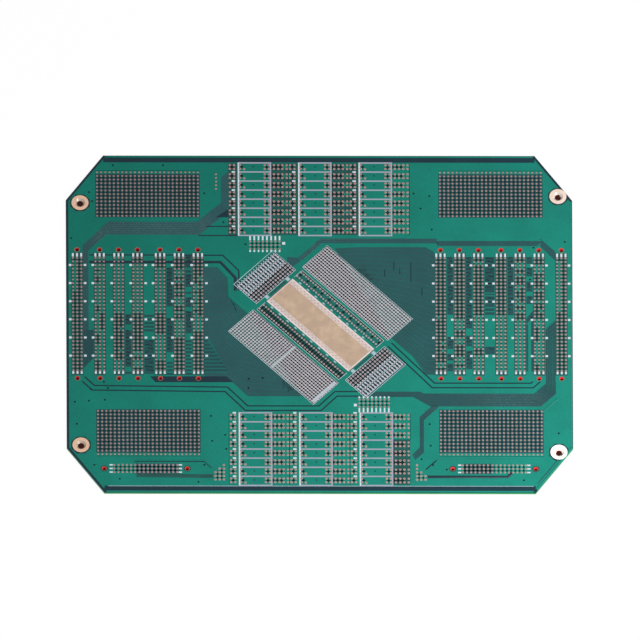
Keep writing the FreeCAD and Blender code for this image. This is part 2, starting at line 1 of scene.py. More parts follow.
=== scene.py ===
"""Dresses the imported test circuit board: plated lands, solder mask, routes, legend and collars."""
import math
from functools import lru_cache

import bmesh
import bpy
from bpy.props import FloatProperty, FloatVectorProperty, IntProperty, PointerProperty
from mathutils import Matrix, Vector


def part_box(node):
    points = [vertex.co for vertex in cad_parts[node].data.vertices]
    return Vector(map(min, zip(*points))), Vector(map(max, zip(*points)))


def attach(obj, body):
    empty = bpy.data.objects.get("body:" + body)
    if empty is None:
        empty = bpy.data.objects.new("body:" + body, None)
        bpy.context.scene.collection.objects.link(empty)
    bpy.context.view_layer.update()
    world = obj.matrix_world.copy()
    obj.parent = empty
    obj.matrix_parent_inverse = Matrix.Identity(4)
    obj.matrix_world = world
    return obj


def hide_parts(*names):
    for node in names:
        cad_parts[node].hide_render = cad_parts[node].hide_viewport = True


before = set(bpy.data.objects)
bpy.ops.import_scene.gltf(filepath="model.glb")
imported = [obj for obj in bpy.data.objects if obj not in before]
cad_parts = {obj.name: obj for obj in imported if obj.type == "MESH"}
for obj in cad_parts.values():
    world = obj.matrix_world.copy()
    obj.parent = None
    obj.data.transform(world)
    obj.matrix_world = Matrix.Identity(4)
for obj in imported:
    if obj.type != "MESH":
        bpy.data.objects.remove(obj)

bl_info = {
    "name": "Test Circuit Board",
    "version": (1, 0, 0),
    "blender": (4, 5, 0),
    "location": "3D View > Sidebar > Circuit Board",
    "description": "Makes the lands, routes, legend and finishes of a bare test circuit board",
    "category": "Object",
}

MM = 0.001
PITCH = 2.54
GRID = PITCH / 10

# Landmarks on the board, in millimetres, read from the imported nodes


def low(node):
    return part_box(node)[0] / MM


def high(node):
    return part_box(node)[1] / MM


def middle(node):
    return (low(node) + high(node)) / 2


FRONT = high("board_laminate").z
COPPER_TOP = high("front_copper").z
HALF_X = high("board_laminate").x
HALF_Y = high("board_laminate").y
CUT_X = 22.7
CUT_Y = 31.3
WINDOW_MARGIN = 0.3
EAST = [middle(f"connector_east_{i}").x for i in range(1, 8)]
CONNECTOR_Y = middle("connector_east_1").y
CONNECTOR_ROWS = 32
GUIDE_REACH = 45.0
SMALL_GUIDE_REACH = 25.1
LANE = low("connector_east_7").x - WINDOW_MARGIN
FACE = low("connector_east_1").x - WINDOW_MARGIN
UPPER = CONNECTOR_Y + GUIDE_REACH
LOWER = CONNECTOR_Y - GUIDE_REACH
GRID_FLOOR = low("land_grid_nw").y
GRID_CEILING = high("land_grid_sw").y
BLOCK_LEFT = low("channel_lands_top").x
SMALL_Y = middle("small_connector_se").y
SMALL_X = middle("small_connector_se").x
CENTRE = middle("contact_plate")
CENTRE_TURN = math.radians(-45)
PLATE_HALF = 34.8
PLATE_EDGE = 7.6
FIELD_END = 36.15
FIELD_IN = 21.2
FIELD_OUT = 42.4
CELL = 6.35
CELLS = 8

# Heights of the thin layers on the laminate and the copper, in millimetres
SKIN = 0.016
BARE_TOP = COPPER_TOP + SKIN
FINE_TOP = BARE_TOP + SKIN
INK_TOP = COPPER_TOP + 4 * SKIN
BUNDLE_TOP = FRONT + 0.06
SWEPT_TOP = BUNDLE_TOP + 0.03
LOW_INK_TOP = FRONT + 0.1


def turned(along, across):
    """A place in the contact area's own frame, as a place on the board."""
    c, s = math.cos(CENTRE_TURN), math.sin(CENTRE_TURN)
    return CENTRE.x + along * c - across * s, CENTRE.y + along * s + across * c


FIELD_N = turned(-FIELD_END, FIELD_OUT)
FIELD_E = turned(FIELD_END, FIELD_OUT)
FIELD_W = turned(-FIELD_END, -FIELD_OUT)
FIELD_S = turned(FIELD_END, -FIELD_OUT)


def at(x, steps_x, y, steps_y):
    """A point so many routing steps from a landmark in each direction."""
    return x + steps_x * GRID, y + steps_y * GRID


# A route is a band between two sides with as many points each
NORTHWEST = (
    [at(-LANE, -1, LOWER, 50), at(-LANE, -1, UPPER, 12), at(-LANE, 60, GRID_FLOOR, -13),
     at(BLOCK_LEFT, -75, GRID_FLOOR, -13), at(BLOCK_LEFT, -18, GRID_FLOOR, 40), at(BLOCK_LEFT, -18, GRID_FLOOR, 104)],
    [at(-LANE, 13, LOWER, 50), at(-LANE, 13, UPPER, -2), at(-LANE, 55, GRID_FLOOR, -49),
     at(BLOCK_LEFT, -71, GRID_FLOOR, -49), at(BLOCK_LEFT, -4, GRID_FLOOR, 12), at(BLOCK_LEFT, -4, GRID_FLOOR, 104)],
)
NORTHEAST = (
    [at(FIELD_N[0], -69, FIELD_N[1], -33), at(FIELD_N[0], -16, FIELD_N[1], 20), at(FACE, 0, FIELD_N[1], 20),
     at(LANE, -36, FIELD_N[1], 20), at(LANE, 3, FIELD_N[1], -19)],
    [at(FIELD_N[0], -61, FIELD_N[1], -40), at(FIELD_N[0], -14, FIELD_N[1], 7), at(FACE, 0, FIELD_N[1], 7),
     at(LANE, -34, FIELD_N[1], 7), at(LANE, 3, FIELD_N[1], -30)],
)
SOUTHEAST = (
    [at(FIELD_E[0], -88, LOWER, -36), at(FACE, -34, LOWER, -36), at(FACE, -28, LOWER, -41),
     at(LANE, -52, LOWER, -41), at(LANE, -24, LOWER, -13), at(LANE, -24, LOWER, 135)],
    [at(FIELD_E[0], -103, LOWER, -51), at(FACE, -52, LOWER, -51), at(FACE, -12, GRID_CEILING, 10),
     at(LANE, -36, GRID_CEILING, 10), at(LANE, 0, GRID_CEILING, 46), at(LANE, 0, LOWER, 160)],
)
BRANCH = (
    [at(FACE, -7, GRID_CEILING, 12), at(FACE, -37, GRID_CEILING, -19),
     at(FACE, -37, GRID_CEILING, -103), at(FACE, -55, GRID_CEILING, -123)],
    [at(FACE, 9, GRID_CEILING, 9), at(FACE, -27, GRID_CEILING, -28),
     at(FACE, -27, GRID_CEILING, -117), at(FACE, -48, GRID_CEILING, -138)],
)
WEST_FAN = (
    [at(-FACE, 0, UPPER, -48), at(-FACE, 35, UPPER, -48), at(-FACE, 59, UPPER, -77),
     at(-FACE, 59, FIELD_W[1], 97), at(FIELD_W[0], 45, FIELD_W[1], 53)],
    [at(-FACE, 0, LOWER, 5), at(-FACE, 53, LOWER, 5), at(-FACE, 103, LOWER, -49),
     at(-FACE, 172, LOWER, -49), at(FIELD_S[0], -26, LOWER, -49)],
)
EAST_FAN = (
    [at(FACE, 0, UPPER, -6), at(FACE, -21, UPPER, 8), at(FACE, -117, UPPER, 8), at(FACE, -180, UPPER, 8),
     at(FIELD_N[0], 17, UPPER, 4)],
    [at(FACE, 0, LOWER, 11), at(FACE, -22, LOWER, 11), at(FIELD_E[0], 0, FIELD_E[1], -103),
     at(FIELD_E[0], -28, FIELD_E[1], -76), at(FIELD_E[0], -48, FIELD_E[1], -55)],
)

# Stage: the view's angles, what it aims at in millimetres, the lamp and the floor in metres
VIEW_TURN = -1.03
VIEW_ROLL = 0.069
VIEW_RISE = math.radians(59.63)
VIEW_AIM = (0.35, 2.95, COPPER_TOP)
LAMP_SIZE = 0.9
LAMP_PLACE = (0.75, -0.55, 0.95)
FLOOR_SIZE = 6

SIDES = ("west", "east")
DIAGONALS = (("northeast", 1), ("southwest", -1))
CORNERS = ("nw", "ne", "sw", "se")
GUIDE_RADIUS = 1.45
BARREL_RADIUS = 1.44
RIM_RADIUS = 1.62
COLLAR_RADIUS = 5.15
UNDER_SKIN = 0.04
COLLAR_TOP = high("mount_collar_nw").z
VOID_REACH = 0.84
BRIDGE_WIDTH = 1.3
FINE_STEP = 1.72
FINE_COLUMNS = 42
FINE_ROWS = 12
STRIP_STEP = 2.03
END_STEP = 2.08
END_ROWS = 16
GRID_COLUMNS = 25
GRID_ROWS = 13
FIELD_MID = (FIELD_IN + FIELD_OUT) / 2
FAN_LINES = 22

# Rows at which copper passes between a connector's columns: left and right of the middle column
BRIDGES = {
    "west": {
        1: ([(7.5, 9), (10, 12), (13, 14), (15.5, 20)], [(5.5, 6), (8, 8.2), (16.5, 20)]),
        2: 2 * [[(3.5, 5), (6.5, 6.7), (9, 9.2), (11, 13), (15, 15.2), (17, 21.7)]],
        3: 2 * [[(3, 15), (21.3, 28)]],
        4: 2 * [[(1, 15), (26, 27), (28.5, 30)]],
        5: ([(0, 15), (28.5, 31)], [(0, 15), (19.4, 19.6), (25.4, 25.6), (28.5, 31)]),
        6: ([(0, 3), (4, 5), (7, 13), (15, 21), (24, 28)], [(0, 15), (20, 31)]),
        7: ([(1, 9)], []),
    },
    "east": {
        1: ([(16.3, 16.5), (29, 30)], [(23.4, 23.6), (25.4, 25.6), (29, 30)]),
        2: 2 * [[(17, 19.5), (22, 23.5), (27.5, 29), (30.4, 30.6)]],
        3: 2 * [[(1.4, 1.6), (16, 24.5), (27, 31)]],
        4: 2 * [[(16, 31)]],
        5: ([(1.5, 2.8), (4.6, 4.8), (7.7, 8.8), (11.2, 11.4), (12.6, 12.8), (14.6, 14.8), (17.2, 31)],
            [(1.5, 2.8), (4.6, 4.8), (7.7, 7.9), (12.6, 12.8), (14.6, 14.8), (17.2, 31)]),
        6: ([(2, 4), (8.7, 8.9), (11.9, 12.1), (17, 18.7), (23.2, 29.1)],
            [(2, 4), (5.7, 5.9), (8.7, 8.9), (11.9, 12.1), (14.5, 14.7), (17, 31)]),
        7: ([(1, 14.5)], []),
    },
}

# Bare fields between a connector and the next outer one: first row, last row, and True where it is combed
BARE_ZONES = {
    "west": {
        1: [(-0.6, 2.7), (3.4, 4.1), (4.4, 8.0), (9.4, 9.9), (10.9, 13.6),
            (14.7, 20.8), (22.5, 32, True)],
        2: [(2.7, 13.4), (16.6, 26.0), (28.5, 32, True)],
        3: [(15.9, 20.5, True), (22.6, 32)],
        4: [(15.6, 18.4), (20.0, 30.0), (31.4, 32)],
    },
    "east": {
        1: [(-0.3, 15.6), (21.7, 25.0), (26.4, 28.2), (29.1, 31.2)],
        2: [(-0.3, 19.4), (21.4, 24.3), (25.5, 30.6)],
        3: [(-0.3, 9.5), (9.8, 10.2), (10.5, 13.5), (13.8, 14.6), (14.9, 15.6),
            (24.4, 26.5)],
        4: [(-0.3, 15.7)],
        5: [(-0.3, 1.6), (2.6, 5.0), (6.4, 9.2), (10.4, 12.6)],
    },
}

# Bare fields of other outlines, as corner points in millimetres
SIDE_PATCHES = {
    "west": [((-142.6, -30.8), (-136.5, -23.8), (-136.4, -4.2), (-142.5, -4.2))],
    "east": [((125.0, 4.2), (129.2, 9.8), (129.2, 5.6), (125.0, 0.0)),
             ((125.0, 0.0), (126.1, 0.0), (126.1, -32.9), (125.0, -32.9)),
             ((127.9, 5.0), (129.2, 5.6), (129.2, -32.9), (127.9, -32.9))],
}
# Darker fields that lie on the copper: over dense tracks, and over bare laminate
DENSE_PATCHES = (
    ((-111.7, -104.8), (-84.4, -104.8), (-84.4, -97.6), (-111.7, -97.6)),
    ((86.9, -104.8), (104.4, -104.8), (104.4, -97.6), (86.9, -97.6)),
    ((-59.0, 102.8), (-54.6, 107.0), (-54.6, 81.1), (-59.0, 81.1)),
    ((135.0, 58.7), (133.3, 55.0), (142.5, 44.8), (143.6, 48.5)),
    ((71.0, 57.2), (134.0, 57.2), (131.8, 54.9), (71.0, 54.9)),
    ((-2.0, 57.9), (70.0, 57.9), (72.5, 56.7), (-2.0, 56.7)),
    ((-19.5, 47.1), (-12.4, 46.5), (-11.2, 44.4), (-16.2, 40.1), (-19.5, 43.3)),
)
BARE_PATCHES = (
    ((-102.4, -36.6), (-56.2, -36.6), (-52.2, -40.7), (-99.3, -40.7)),
    ((-62.2, 74.8), (-54.9, 74.8), (-54.9, 80.6)),
)

# Short strokes in the east fan: place and length
FAN_STROKES = ((45.1, 37.8, 5.6), (48.7, 35.0, 4.2), (55.4, 29.4, 14.0), (39.6, 33.5, 5.0), (62.0, 20.0, 6.0))

LIGHT_PATCH = [(71.0, 58.4), (134.6, 58.4), (132.8, 60.3), (71.0, 60.3)]

TICK_ROWS = (2, 7, 12, 17, 22, 27)
TICK_COLUMNS = (-150.5, -141.5, -136.8, -125.4, -113.9, -104.9, -100.4, -88.8, -77.1, -68.2,
                68.9, 80.3, 91.7, 101.0, 105.3, 116.8, 128.5, 137.3, 150.9)

# Single lines over the copper and the dense regions: name, width, height, finish and paths
LINES = (
    ("pale_edge", 0.4, COPPER_TOP, "faded ink", (
        ((-128.0, -113.35), (129.0, -113.35)),
    )),
    ("chamfer_line", 0.6, COPPER_TOP, "masked window", (
        ((131.5, -111.5), (149.6, -86.8)),
    )),
    ("bare_lines", 0.8, COPPER_TOP, "masked laminate", (
        ((-138.9, 48.3), (-69.5, 48.3)),
        ((-68.2, 68.4), (-54.7, 68.4)),
        ((-72.9, 62.0), (-43.6, 62.0)),
    )),
    ("east_rim", 1.5, FRONT + 0.05, "masked copper", (
        ((151.85, 86.0), (151.85, -86.4)),
    )),
    ("corner_rim", 1.7, FRONT + 0.05, "masked copper", (
        ((152.1, -86.4), (130.9, -115.6)),
    )),
    ("faint_lines", 1.1, COPPER_TOP, "masked copper", (
        ((-112.3, -95.4), (-69.9, -95.4), (-65.0, -100.6)),
        ((65.0, -94.7), (119.2, -94.7)),
        ((133.7, -62.0), (143.9, -52.0)),
    )),
    ("small_connector_band", 2.5, COPPER_TOP, "masked window", (
        ((-110.9, -105.9), (-64.7, -106.6)),
    )),
    ("bare_bands", 1.9, COPPER_TOP, "masked laminate", (
        ((-138.9, 43.4), (-59.7, 43.4), (-50.7, 32.4), (-50.7, 23.5)),
        ((65.0, -106.8), (113.4, -106.8), (116.0, -103.8)),
    )),
    ("light_band", 2.2, SWEPT_TOP, "masked copper", (
        ((-60.7, 39.9), (-54.7, 32.4), (-54.7, 19.7), (-42.7, 8.0)),
    )),
)

VIAS = ((-148.0, -54.5), (-139.5, -53.8), (-129.8, -53.1), (-138.3, -45.5), (-128.0, -44.8), (-130.4, -40.6),
        (148.4, 57.8), (129.5, 53.8), (127.4, 31.5), (-42.9, -38.2), (-34.4, -37.7), (-43.0, -44.8),
        (-146.8, -69.9), (-136.3, -98.6), (-121.0, -108.4), (-65.7, -64.3), (-65.1, -81.8), (-57.2, -77.6),
        (-56.6, -87.4), (-73.5, -110.5), (-69.9, -98.6), (66.3, -69.9), (66.9, -85.0), (61.4, -94.4),
        (76.6, -101.7), (68.3, -98.6), (144.4, -76.2), (123.2, -109.1), (57.2, 91.6), (61.4, 81.1),
        (66.7, 89.8), (68.1, 66.4), (-124.4, 111.2), (-94.1, 111.2), (-69.3, 91.6), (-138.9, 92.3),
        (-137.1, 86.0), (-149.8, 60.1), (-57.8, 71.3), (-44.5, 55.9))


def tone(red, green, blue):
    """A screen colour, 0 to 255 each, as linear light."""
    parts = [channel / 255 for channel in (red, green, blue)]
    return tuple(p / 12.92 if p <= 0.04045 else ((p + 0.055) / 1.055) ** 2.4 for p in parts)


def size_property(name, description, default):
    return FloatProperty(name=name, description=description, default=default * MM, subtype="DISTANCE", unit="LENGTH")


def colour_property(name, description, default):
    return FloatVectorProperty(name=name, description=description, default=tone(*default),
                               subtype="COLOR", min=0, max=1)


class LandSizes(bpy.types.PropertyGroup):
    """Sizes of the plated lands."""

    land: size_property("Land", "Width of a round land", 1.22)
    hole: size_property("Hole", "Width of the shaded drilled hole in a land", 0.45)
    small_land: size_property("Small Land", "Width of a land beside the ladders", 1.45)
    small_hole: size_property("Small Hole", "Width of a hole beside the ladders", 0.5)
    rise: size_property("Rise", "Height of a land above what it stands on", 0.12)
    grid_land: size_property("Grid Land", "Width of a land in the open grids", 1.14)
    grid_hole: size_property("Grid Hole", "Width of a hole in the open grids", 0.45)
    strip_land: size_property("Strip Land", "Width of a land in the contact strips", 1.15)
    strip_hole: size_property("Strip Hole", "Width of a hole in the contact strips", 0.4)
    fine_land: size_property("Fine Land", "Width of a land in the contact fields", 1.36)
    fine_hole: size_property("Fine Hole", "Width of a hole in the contact fields", 0.72)
    sides: IntProperty(name="Sides", description="Sides of a round land", default=12, min=6, max=24)
    fine_sides: IntProperty(name="Fine Sides", description="Sides of a small land", default=8, min=6, max=16)


class RouteSizes(bpy.types.PropertyGroup):
    """Sizes of the routed copper under the mask."""

    track: size_property("Track", "Width of a routed track", 0.42)
    via: size_property("Via", "Width of a small via", 1.3)


class BoardColours(bpy.types.PropertyGroup):
    """Colours of the board's finishes."""

    pour: colour_property("Pour", "Solder mask over the copper pour", (4, 108, 94))
    bare: colour_property("Bare", "Solder mask over bare laminate", (5, 38, 50))
    edge: colour_property("Edge", "Cut edge of the laminate", (24, 150, 84))
    comb: colour_property("Comb", "Solder mask over single fine tracks", (10, 90, 84))
    window: colour_property("Window", "Solder mask between the lands", (20, 74, 70))
    field: colour_property("Field", "Solder mask over bare fields between connectors", (18, 62, 66))
    void: colour_property("Void", "Darkest mask between the lands", (8, 30, 32))
    bundle: colour_property("Bundle", "Solder mask over dense tracks", (22, 76, 77))
    land: colour_property("Land", "Plated lands", (160, 120, 120))
    strip: colour_property("Strip Land", "Plated lands of the contact strips", (176, 146, 148))
    pale: colour_property("Pale Land", "Plating of the contact fields", (190, 182, 188))
    # Painted shade: the dark inside of a drilled hole.
    hole: colour_property("Hole", "Inside of a shaded drilled hole", (40, 16, 16))
    ladder: colour_property("Ladder", "Printed ladder frames", (142, 146, 162))
    faded: colour_property("Faded Ink", "Thin printed ink", (146, 170, 180))
    finger: colour_property("Finger", "Contact fingers", (184, 172, 169))
    bright: colour_property("Bright Plating", "Outer edges of the contact plate", (204, 192, 190))
    ink: colour_property("Legend", "Printed legend", (188, 198, 204))
    plate: colour_property("Plate", "Tan contact plate", (164, 140, 120))
    barrel: colour_property("Guide Barrel", "Lining of the guide holes", (176, 22, 36))
    rim: colour_property("Guide Rim", "Edge of the guide holes", (140, 92, 80))
    collar: colour_property("Collar", "Plated mounting collars", (206, 168, 142))


class StageLight(bpy.types.PropertyGroup):
    """Light and view of the stage."""

    sky: FloatProperty(name="Sky", description="Strength of the even light", default=0.56, min=0)
    lamp: FloatProperty(name="Lamp", description="Power of the soft lamp", default=19.0, min=0, unit="POWER")
    width: FloatProperty(name="View Width", description="Width of what the camera sees", default=386.7 * MM,
                         min=0.05, unit="LENGTH")
    distance: FloatProperty(name="Distance", description="Camera to board", default=2.0, min=0.5, unit="LENGTH")


# Meshes


def linked(name, data):
    obj = bpy.data.objects.new(name, data)
    bpy.context.scene.collection.objects.link(obj)
    return obj


def closed(name, mesh, builder, finish):
    """The builder's faces as an object of that mesh, with their finish and all facing outward."""
    bmesh.ops.recalc_face_normals(builder, faces=builder.faces[:])
    builder.to_mesh(mesh)
    builder.free()
    mesh.materials.clear()
    mesh.materials.append(finish_for(finish))
    return linked(name, mesh)


def sheet(name, outlines, base, top, finish):
    """Thin closed plates with the given outlines, between two heights in millimetres."""
    builder = bmesh.new()
    for outline in outlines:
        lower, upper = [[builder.verts.new((x * MM, y * MM, z * MM)) for x, y in outline] for z in (base, top)]
        builder.faces.new(upper)
        builder.faces.new(lower[::-1])
        for i in range(len(outline)):
            j = (i + 1) % len(outline)
            builder.faces.new((lower[i], lower[j], upper[j], upper[i]))
    return closed(name, bpy.data.meshes.new(name), builder, finish)


def rings(name, sections, finish, sides=24):
    """Turned closed rings: each section is a centre and the corners of its profile, radius and height."""
    builder = bmesh.new()
    for (x, y), profile in sections:
        loops = []
        for i in range(sides):
            c, s = math.cos(math.tau * i / sides), math.sin(math.tau * i / sides)
            loops.append([builder.verts.new(((x + r * c) * MM, (y + r * s) * MM, z * MM)) for r, z in profile])
        for i, here in enumerate(loops):
            there = loops[(i + 1) % sides]
            for j in range(len(profile)):
                k = (j + 1) % len(profile)
                builder.faces.new((here[j], there[j], there[k], here[k]))
    return closed(name, bpy.data.meshes.new(name), builder, finish)


def drilled_board(name, outline, holes, base, top, finish, wall=None):
    """A flat board with round holes, made as a filled outline with thickness and a finish for its walls."""
    curve = bpy.data.curves.new(name, "CURVE")
    curve.dimensions = "2D"
    curve.fill_mode = "BOTH"
    curve.extrude = (top - base) / 2 * MM
    for points in [outline] + holes:
        spline = curve.splines.new("POLY")
        spline.points.add(len(points) - 1)
        for point, (x, y) in zip(spline.points, points):
            point.co = (x * MM, y * MM, 0, 1)
        spline.use_cyclic_u = True
    source = linked(name, curve)
    mesh = bpy.data.meshes.new_from_object(source.evaluated_get(bpy.context.evaluated_depsgraph_get()))
    bpy.data.objects.remove(source)
    builder = bmesh.new()
    builder.from_mesh(mesh)
    bmesh.ops.remove_doubles(builder, verts=builder.verts[:], dist=0.001 * MM)
    bmesh.ops.translate(builder, verts=builder.verts[:], vec=(0, 0, (top + base) / 2 * MM))
    for face in builder.faces:
        face.smooth = False
    piece = closed(name, mesh, builder, finish)
    if wall:
        mesh.materials.append(finish_for(wall))
        for polygon in mesh.polygons:
            polygon.material_index = int(abs(polygon.normal.z) < 0.5)
    return piece


def rectangle(x, y, width, height):
    return box_between(x - width / 2, y - height / 2, x + width / 2, y + height / 2)


def box_between(x1, y1, x2, y2):
    return [(x1, y1), (x2, y1), (x2, y2), (x1, y2)]


def circle(x, y, radius, sides, start=0.0):
    return [(x + radius * math.cos(start + math.tau * i / sides), y + radius * math.sin(start + math.tau * i / sides))
            for i in range(sides)]


def band(route):
    side, other = route
    return list(side) + list(reversed(other))


def board_outline():
    x, y = HALF_X, HALF_Y
    return [(x, y - CUT_Y), (x - CUT_X, y), (-x + CUT_X, y), (-x, y - CUT_Y),
            (-x, -y + CUT_Y), (-x + CUT_X, -y), (x - CUT_X, -y), (x, -y + CUT_Y)]


# Node trees


GEOMETRY = {"Geometry": "Geometry"}
SURFACE = {"Colour": "Color", "Roughness": "Float", "Normal": "Vector"}


def new_tree(name, kind, inputs, outputs):
    """A node tree with its sockets, the sockets that it is given and the node for its results."""
    tree = bpy.data.node_groups.new(name, kind)
    for way, sockets in (("OUTPUT", outputs), ("INPUT", inputs)):
        for label, socket in sockets.items():
            tree.interface.new_socket(label, in_out=way, socket_type=f"NodeSocket{socket}")
    return tree, tree.nodes.new("NodeGroupInput").outputs, tree.nodes.new("NodeGroupOutput")


def feed(tree, target, links):
    """Links a node's inputs from sockets or other nodes, or sets them to values."""
    for key, source in links.items():
        if isinstance(source, bpy.types.Node):
            source = source.outputs[0]
        if isinstance(source, bpy.types.NodeSocket):
            tree.links.new(source, target.inputs[key])
        else:
            target.inputs[key].default_value = source
    return target


def node(tree, kind, links=None, **settings):
    made = tree.nodes.new(kind)
    for key, setting in settings.items():
        setattr(made, key, setting)
    return feed(tree, made, links or {})


def maths(tree, operation, *terms):
    return node(tree, "ShaderNodeMath", dict(enumerate(terms)), operation=operation)


def vectors(tree, operation, links):
    return node(tree, "ShaderNodeVectorMath", links, operation=operation)


def upward(tree, height):
    return node(tree, "ShaderNodeCombineXYZ", {"Z": height})


@lru_cache(maxsize=None)
def land_tree():
    """Round drilled lands on points: a flat ring with walls, and the hole's floor, a shallow disc that takes the hole's
    painted shade.
    """
    tree, given, result = new_tree("Drilled Lands", "GeometryNodeTree", {
        **GEOMETRY, "Land Width": "Float", "Hole Width": "Float", "Rise": "Float", "Sides": "Int", "Seed": "Int",
        "Land Finish": "Material", "Hole Finish": "Material"}, GEOMETRY)
    wide, narrow, rise = given["Land Width"], given["Hole Width"], given["Rise"]
    path = node(tree, "GeometryNodeCurvePrimitiveCircle",
                {"Resolution": given["Sides"],
                 "Radius": maths(tree, "MULTIPLY", maths(tree, "ADD", wide, narrow), 0.25)})
    profile = node(tree, "GeometryNodeCurvePrimitiveQuadrilateral",
                   {"Width": maths(tree, "MULTIPLY", maths(tree, "SUBTRACT", wide, narrow), 0.5), "Height": rise})
    swept = node(tree, "GeometryNodeCurveToMesh", {"Curve": path, "Profile Curve": profile})
    ring = node(tree, "GeometryNodeTransform",
                {"Geometry": swept, "Translation": upward(tree, maths(tree, "MULTIPLY", rise, 0.5))})
    facing = node(tree, "ShaderNodeSeparateXYZ", {"Vector": node(tree, "GeometryNodeInputNormal")}).outputs["Z"]
    down = node(tree, "FunctionNodeCompare", {0: facing, 1: -0.5}, data_type="FLOAT", operation="LESS_THAN")
    open_ring = node(tree, "GeometryNodeDeleteGeometry", {"Geometry": ring, "Selection": down}, domain="FACE")
    disc = node(tree, "GeometryNodeMeshCircle",
                {"Vertices": given["Sides"], "Radius": maths(tree, "MULTIPLY", narrow, 0.5)}, fill_type="NGON")
    floor = node(tree, "GeometryNodeTransform",
                 {"Geometry": disc, "Translation": upward(tree, maths(tree, "MULTIPLY", rise, 0.15))})
    marked = node(tree, "GeometryNodeStoreNamedAttribute", {"Geometry": floor, "Name": "bore", "Value": True},
                  data_type="BOOLEAN", domain="FACE")
    land = node(tree, "GeometryNodeJoinGeometry")
    for part in (open_ring, marked):
        feed(tree, land, {0: part})
    placed = node(tree, "GeometryNodeInstanceOnPoints", {"Points": given["Geometry"], "Instance": land})
    chance = node(tree, "FunctionNodeRandomValue", {"Seed": given["Seed"]}, data_type="FLOAT").outputs[1]
    shaded = node(tree, "GeometryNodeStoreNamedAttribute", {"Geometry": placed, "Name": "shade", "Value": chance},
                  data_type="FLOAT", domain="INSTANCE")
    real = node(tree, "GeometryNodeRealizeInstances", {"Geometry": shaded})
    plated = node(tree, "GeometryNodeSetMaterial", {"Geometry": real, "Material": given["Land Finish"]})
    bore = node(tree, "GeometryNodeInputNamedAttribute", {"Name": "bore"}, data_type="BOOLEAN").outputs["Attribute"]
    done = node(tree, "GeometryNodeSetMaterial",
                {"Geometry": plated, "Selection": bore, "Material": given["Hole Finish"]})
    feed(tree, result, {"Geometry": done})
    return tree


@lru_cache(maxsize=None)
def mark_tree():
    """Small flat blocks on points, such as printed bars and ticks."""
    tree, given, result = new_tree("Printed Marks", "GeometryNodeTree", {
        **GEOMETRY, "Width": "Float", "Length": "Float", "Rise": "Float", "Finish": "Material"}, GEOMETRY)
    size = node(tree, "ShaderNodeCombineXYZ", {"X": given["Width"], "Y": given["Length"], "Z": given["Rise"]})
    block = node(tree, "GeometryNodeMeshCube", {"Size": size})
    placed = node(tree, "GeometryNodeInstanceOnPoints", {"Points": given["Geometry"], "Instance": block})
    real = node(tree, "GeometryNodeRealizeInstances", {"Geometry": placed})
    done = node(tree, "GeometryNodeSetMaterial", {"Geometry": real, "Material": given["Finish"]})
    feed(tree, result, {"Geometry": done})
    return tree


@lru_cache(maxsize=None)
def track_tree():
    """Flat tracks along edges."""
    tree, given, result = new_tree("Laid Tracks", "GeometryNodeTree", {
        **GEOMETRY, "Width": "Float", "Rise": "Float", "Finish": "Material"}, GEOMETRY)
    path = node(tree, "GeometryNodeMeshToCurve", {"Mesh": given["Geometry"]})
    level = node(tree, "GeometryNodeSetCurveNormal", {"Curve": path})
    menu = level.inputs.get("Mode")
    if menu:
        menu.default_value = "Z Up"
    else:
        level.mode = "Z_UP"
    profile = node(tree, "GeometryNodeCurvePrimitiveQuadrilateral", {"Width": given["Width"], "Height": given["Rise"]})
    swept = node(tree, "GeometryNodeCurveToMesh", {"Curve": level, "Profile Curve": profile, "Fill Caps": True})
    real = node(tree, "GeometryNodeRealizeInstances", {"Geometry": swept})
    done = node(tree, "GeometryNodeSetMaterial", {"Geometry": real, "Material": given["Finish"]})
    feed(tree, result, {"Geometry": done})
    return tree


def grown(name, points, edges, tree, values):
    """Points and edges in millimetres put through a node tree and kept as one plain mesh."""
    mesh = bpy.data.meshes.new(name)
    mesh.from_pydata([Vector(p) * MM for p in points], edges, [])
    obj = linked(name, mesh)
    modifier = obj.modifiers.new("Grown", "NODES")
    modifier.node_group = tree
    sockets = {item.name: item.identifier for item in tree.interface.items_tree
               if item.item_type == "SOCKET" and item.in_out == "INPUT"}
    for key, setting in values.items():
        modifier[sockets[key]] = setting
    bpy.context.view_layer.update()
    plain = bpy.data.meshes.new_from_object(obj.evaluated_get(bpy.context.evaluated_depsgraph_get()))
    obj.modifiers.clear()
    obj.data = plain
    bpy.data.meshes.remove(mesh)
    return obj


def lands(name, places, base, *nodes, kind="", finish="plated land"):
    """Drilled lands fixed to the board, which may stand for nodes."""
    sizes = bpy.context.scene.land_sizes
    piece = grown(name, [(x, y, base) for x, y in places], [], land_tree(), {
        "Land Width": getattr(sizes, kind + "land"), "Hole Width": getattr(sizes, kind + "hole"),
        "Rise": sizes.rise, "Sides": sizes.fine_sides if kind == "fine_" else sizes.sides, "Seed": len(places),
        "Land Finish": finish_for(finish), "Hole Finish": finish_for("shaded drilled hole")})
    settle(piece, "plated_land", *nodes)


def marks(name, places, base, width, length, rise, *nodes):
    """Printed blocks fixed to the board."""
    piece = grown(name, [(x, y, base + rise / 2) for x, y in places], [], mark_tree(), {
        "Width": width * MM, "Length": length * MM, "Rise": rise * MM, "Finish": finish_for("legend ink")})
    settle(piece, "legend_ink", *nodes)


def tracks(name, paths, base, width, rise, finish, slot, *nodes):
    """Flat tracks fixed to the board."""
    points, edges = [], []
    for path in paths:
        edges += [(len(points) + i, len(points) + i + 1) for i in range(len(path) - 1)]
        points += [(x, y, base + rise / 2) for x, y in path]
    piece = grown(name, points, edges, track_tree(), {
        "Width": width * MM, "Rise": rise * MM, "Finish": finish_for(finish)})
    settle(piece, slot, *nodes)


def between(route, number):
    """Paths spread evenly between the two sides of a route."""
    shares = [(i + 0.5) / number for i in range(number)]
    return [[(a[0] + (b[0] - a[0]) * share, a[1] + (b[1] - a[1]) * share) for a, b in zip(*route)]
            for share in shares]


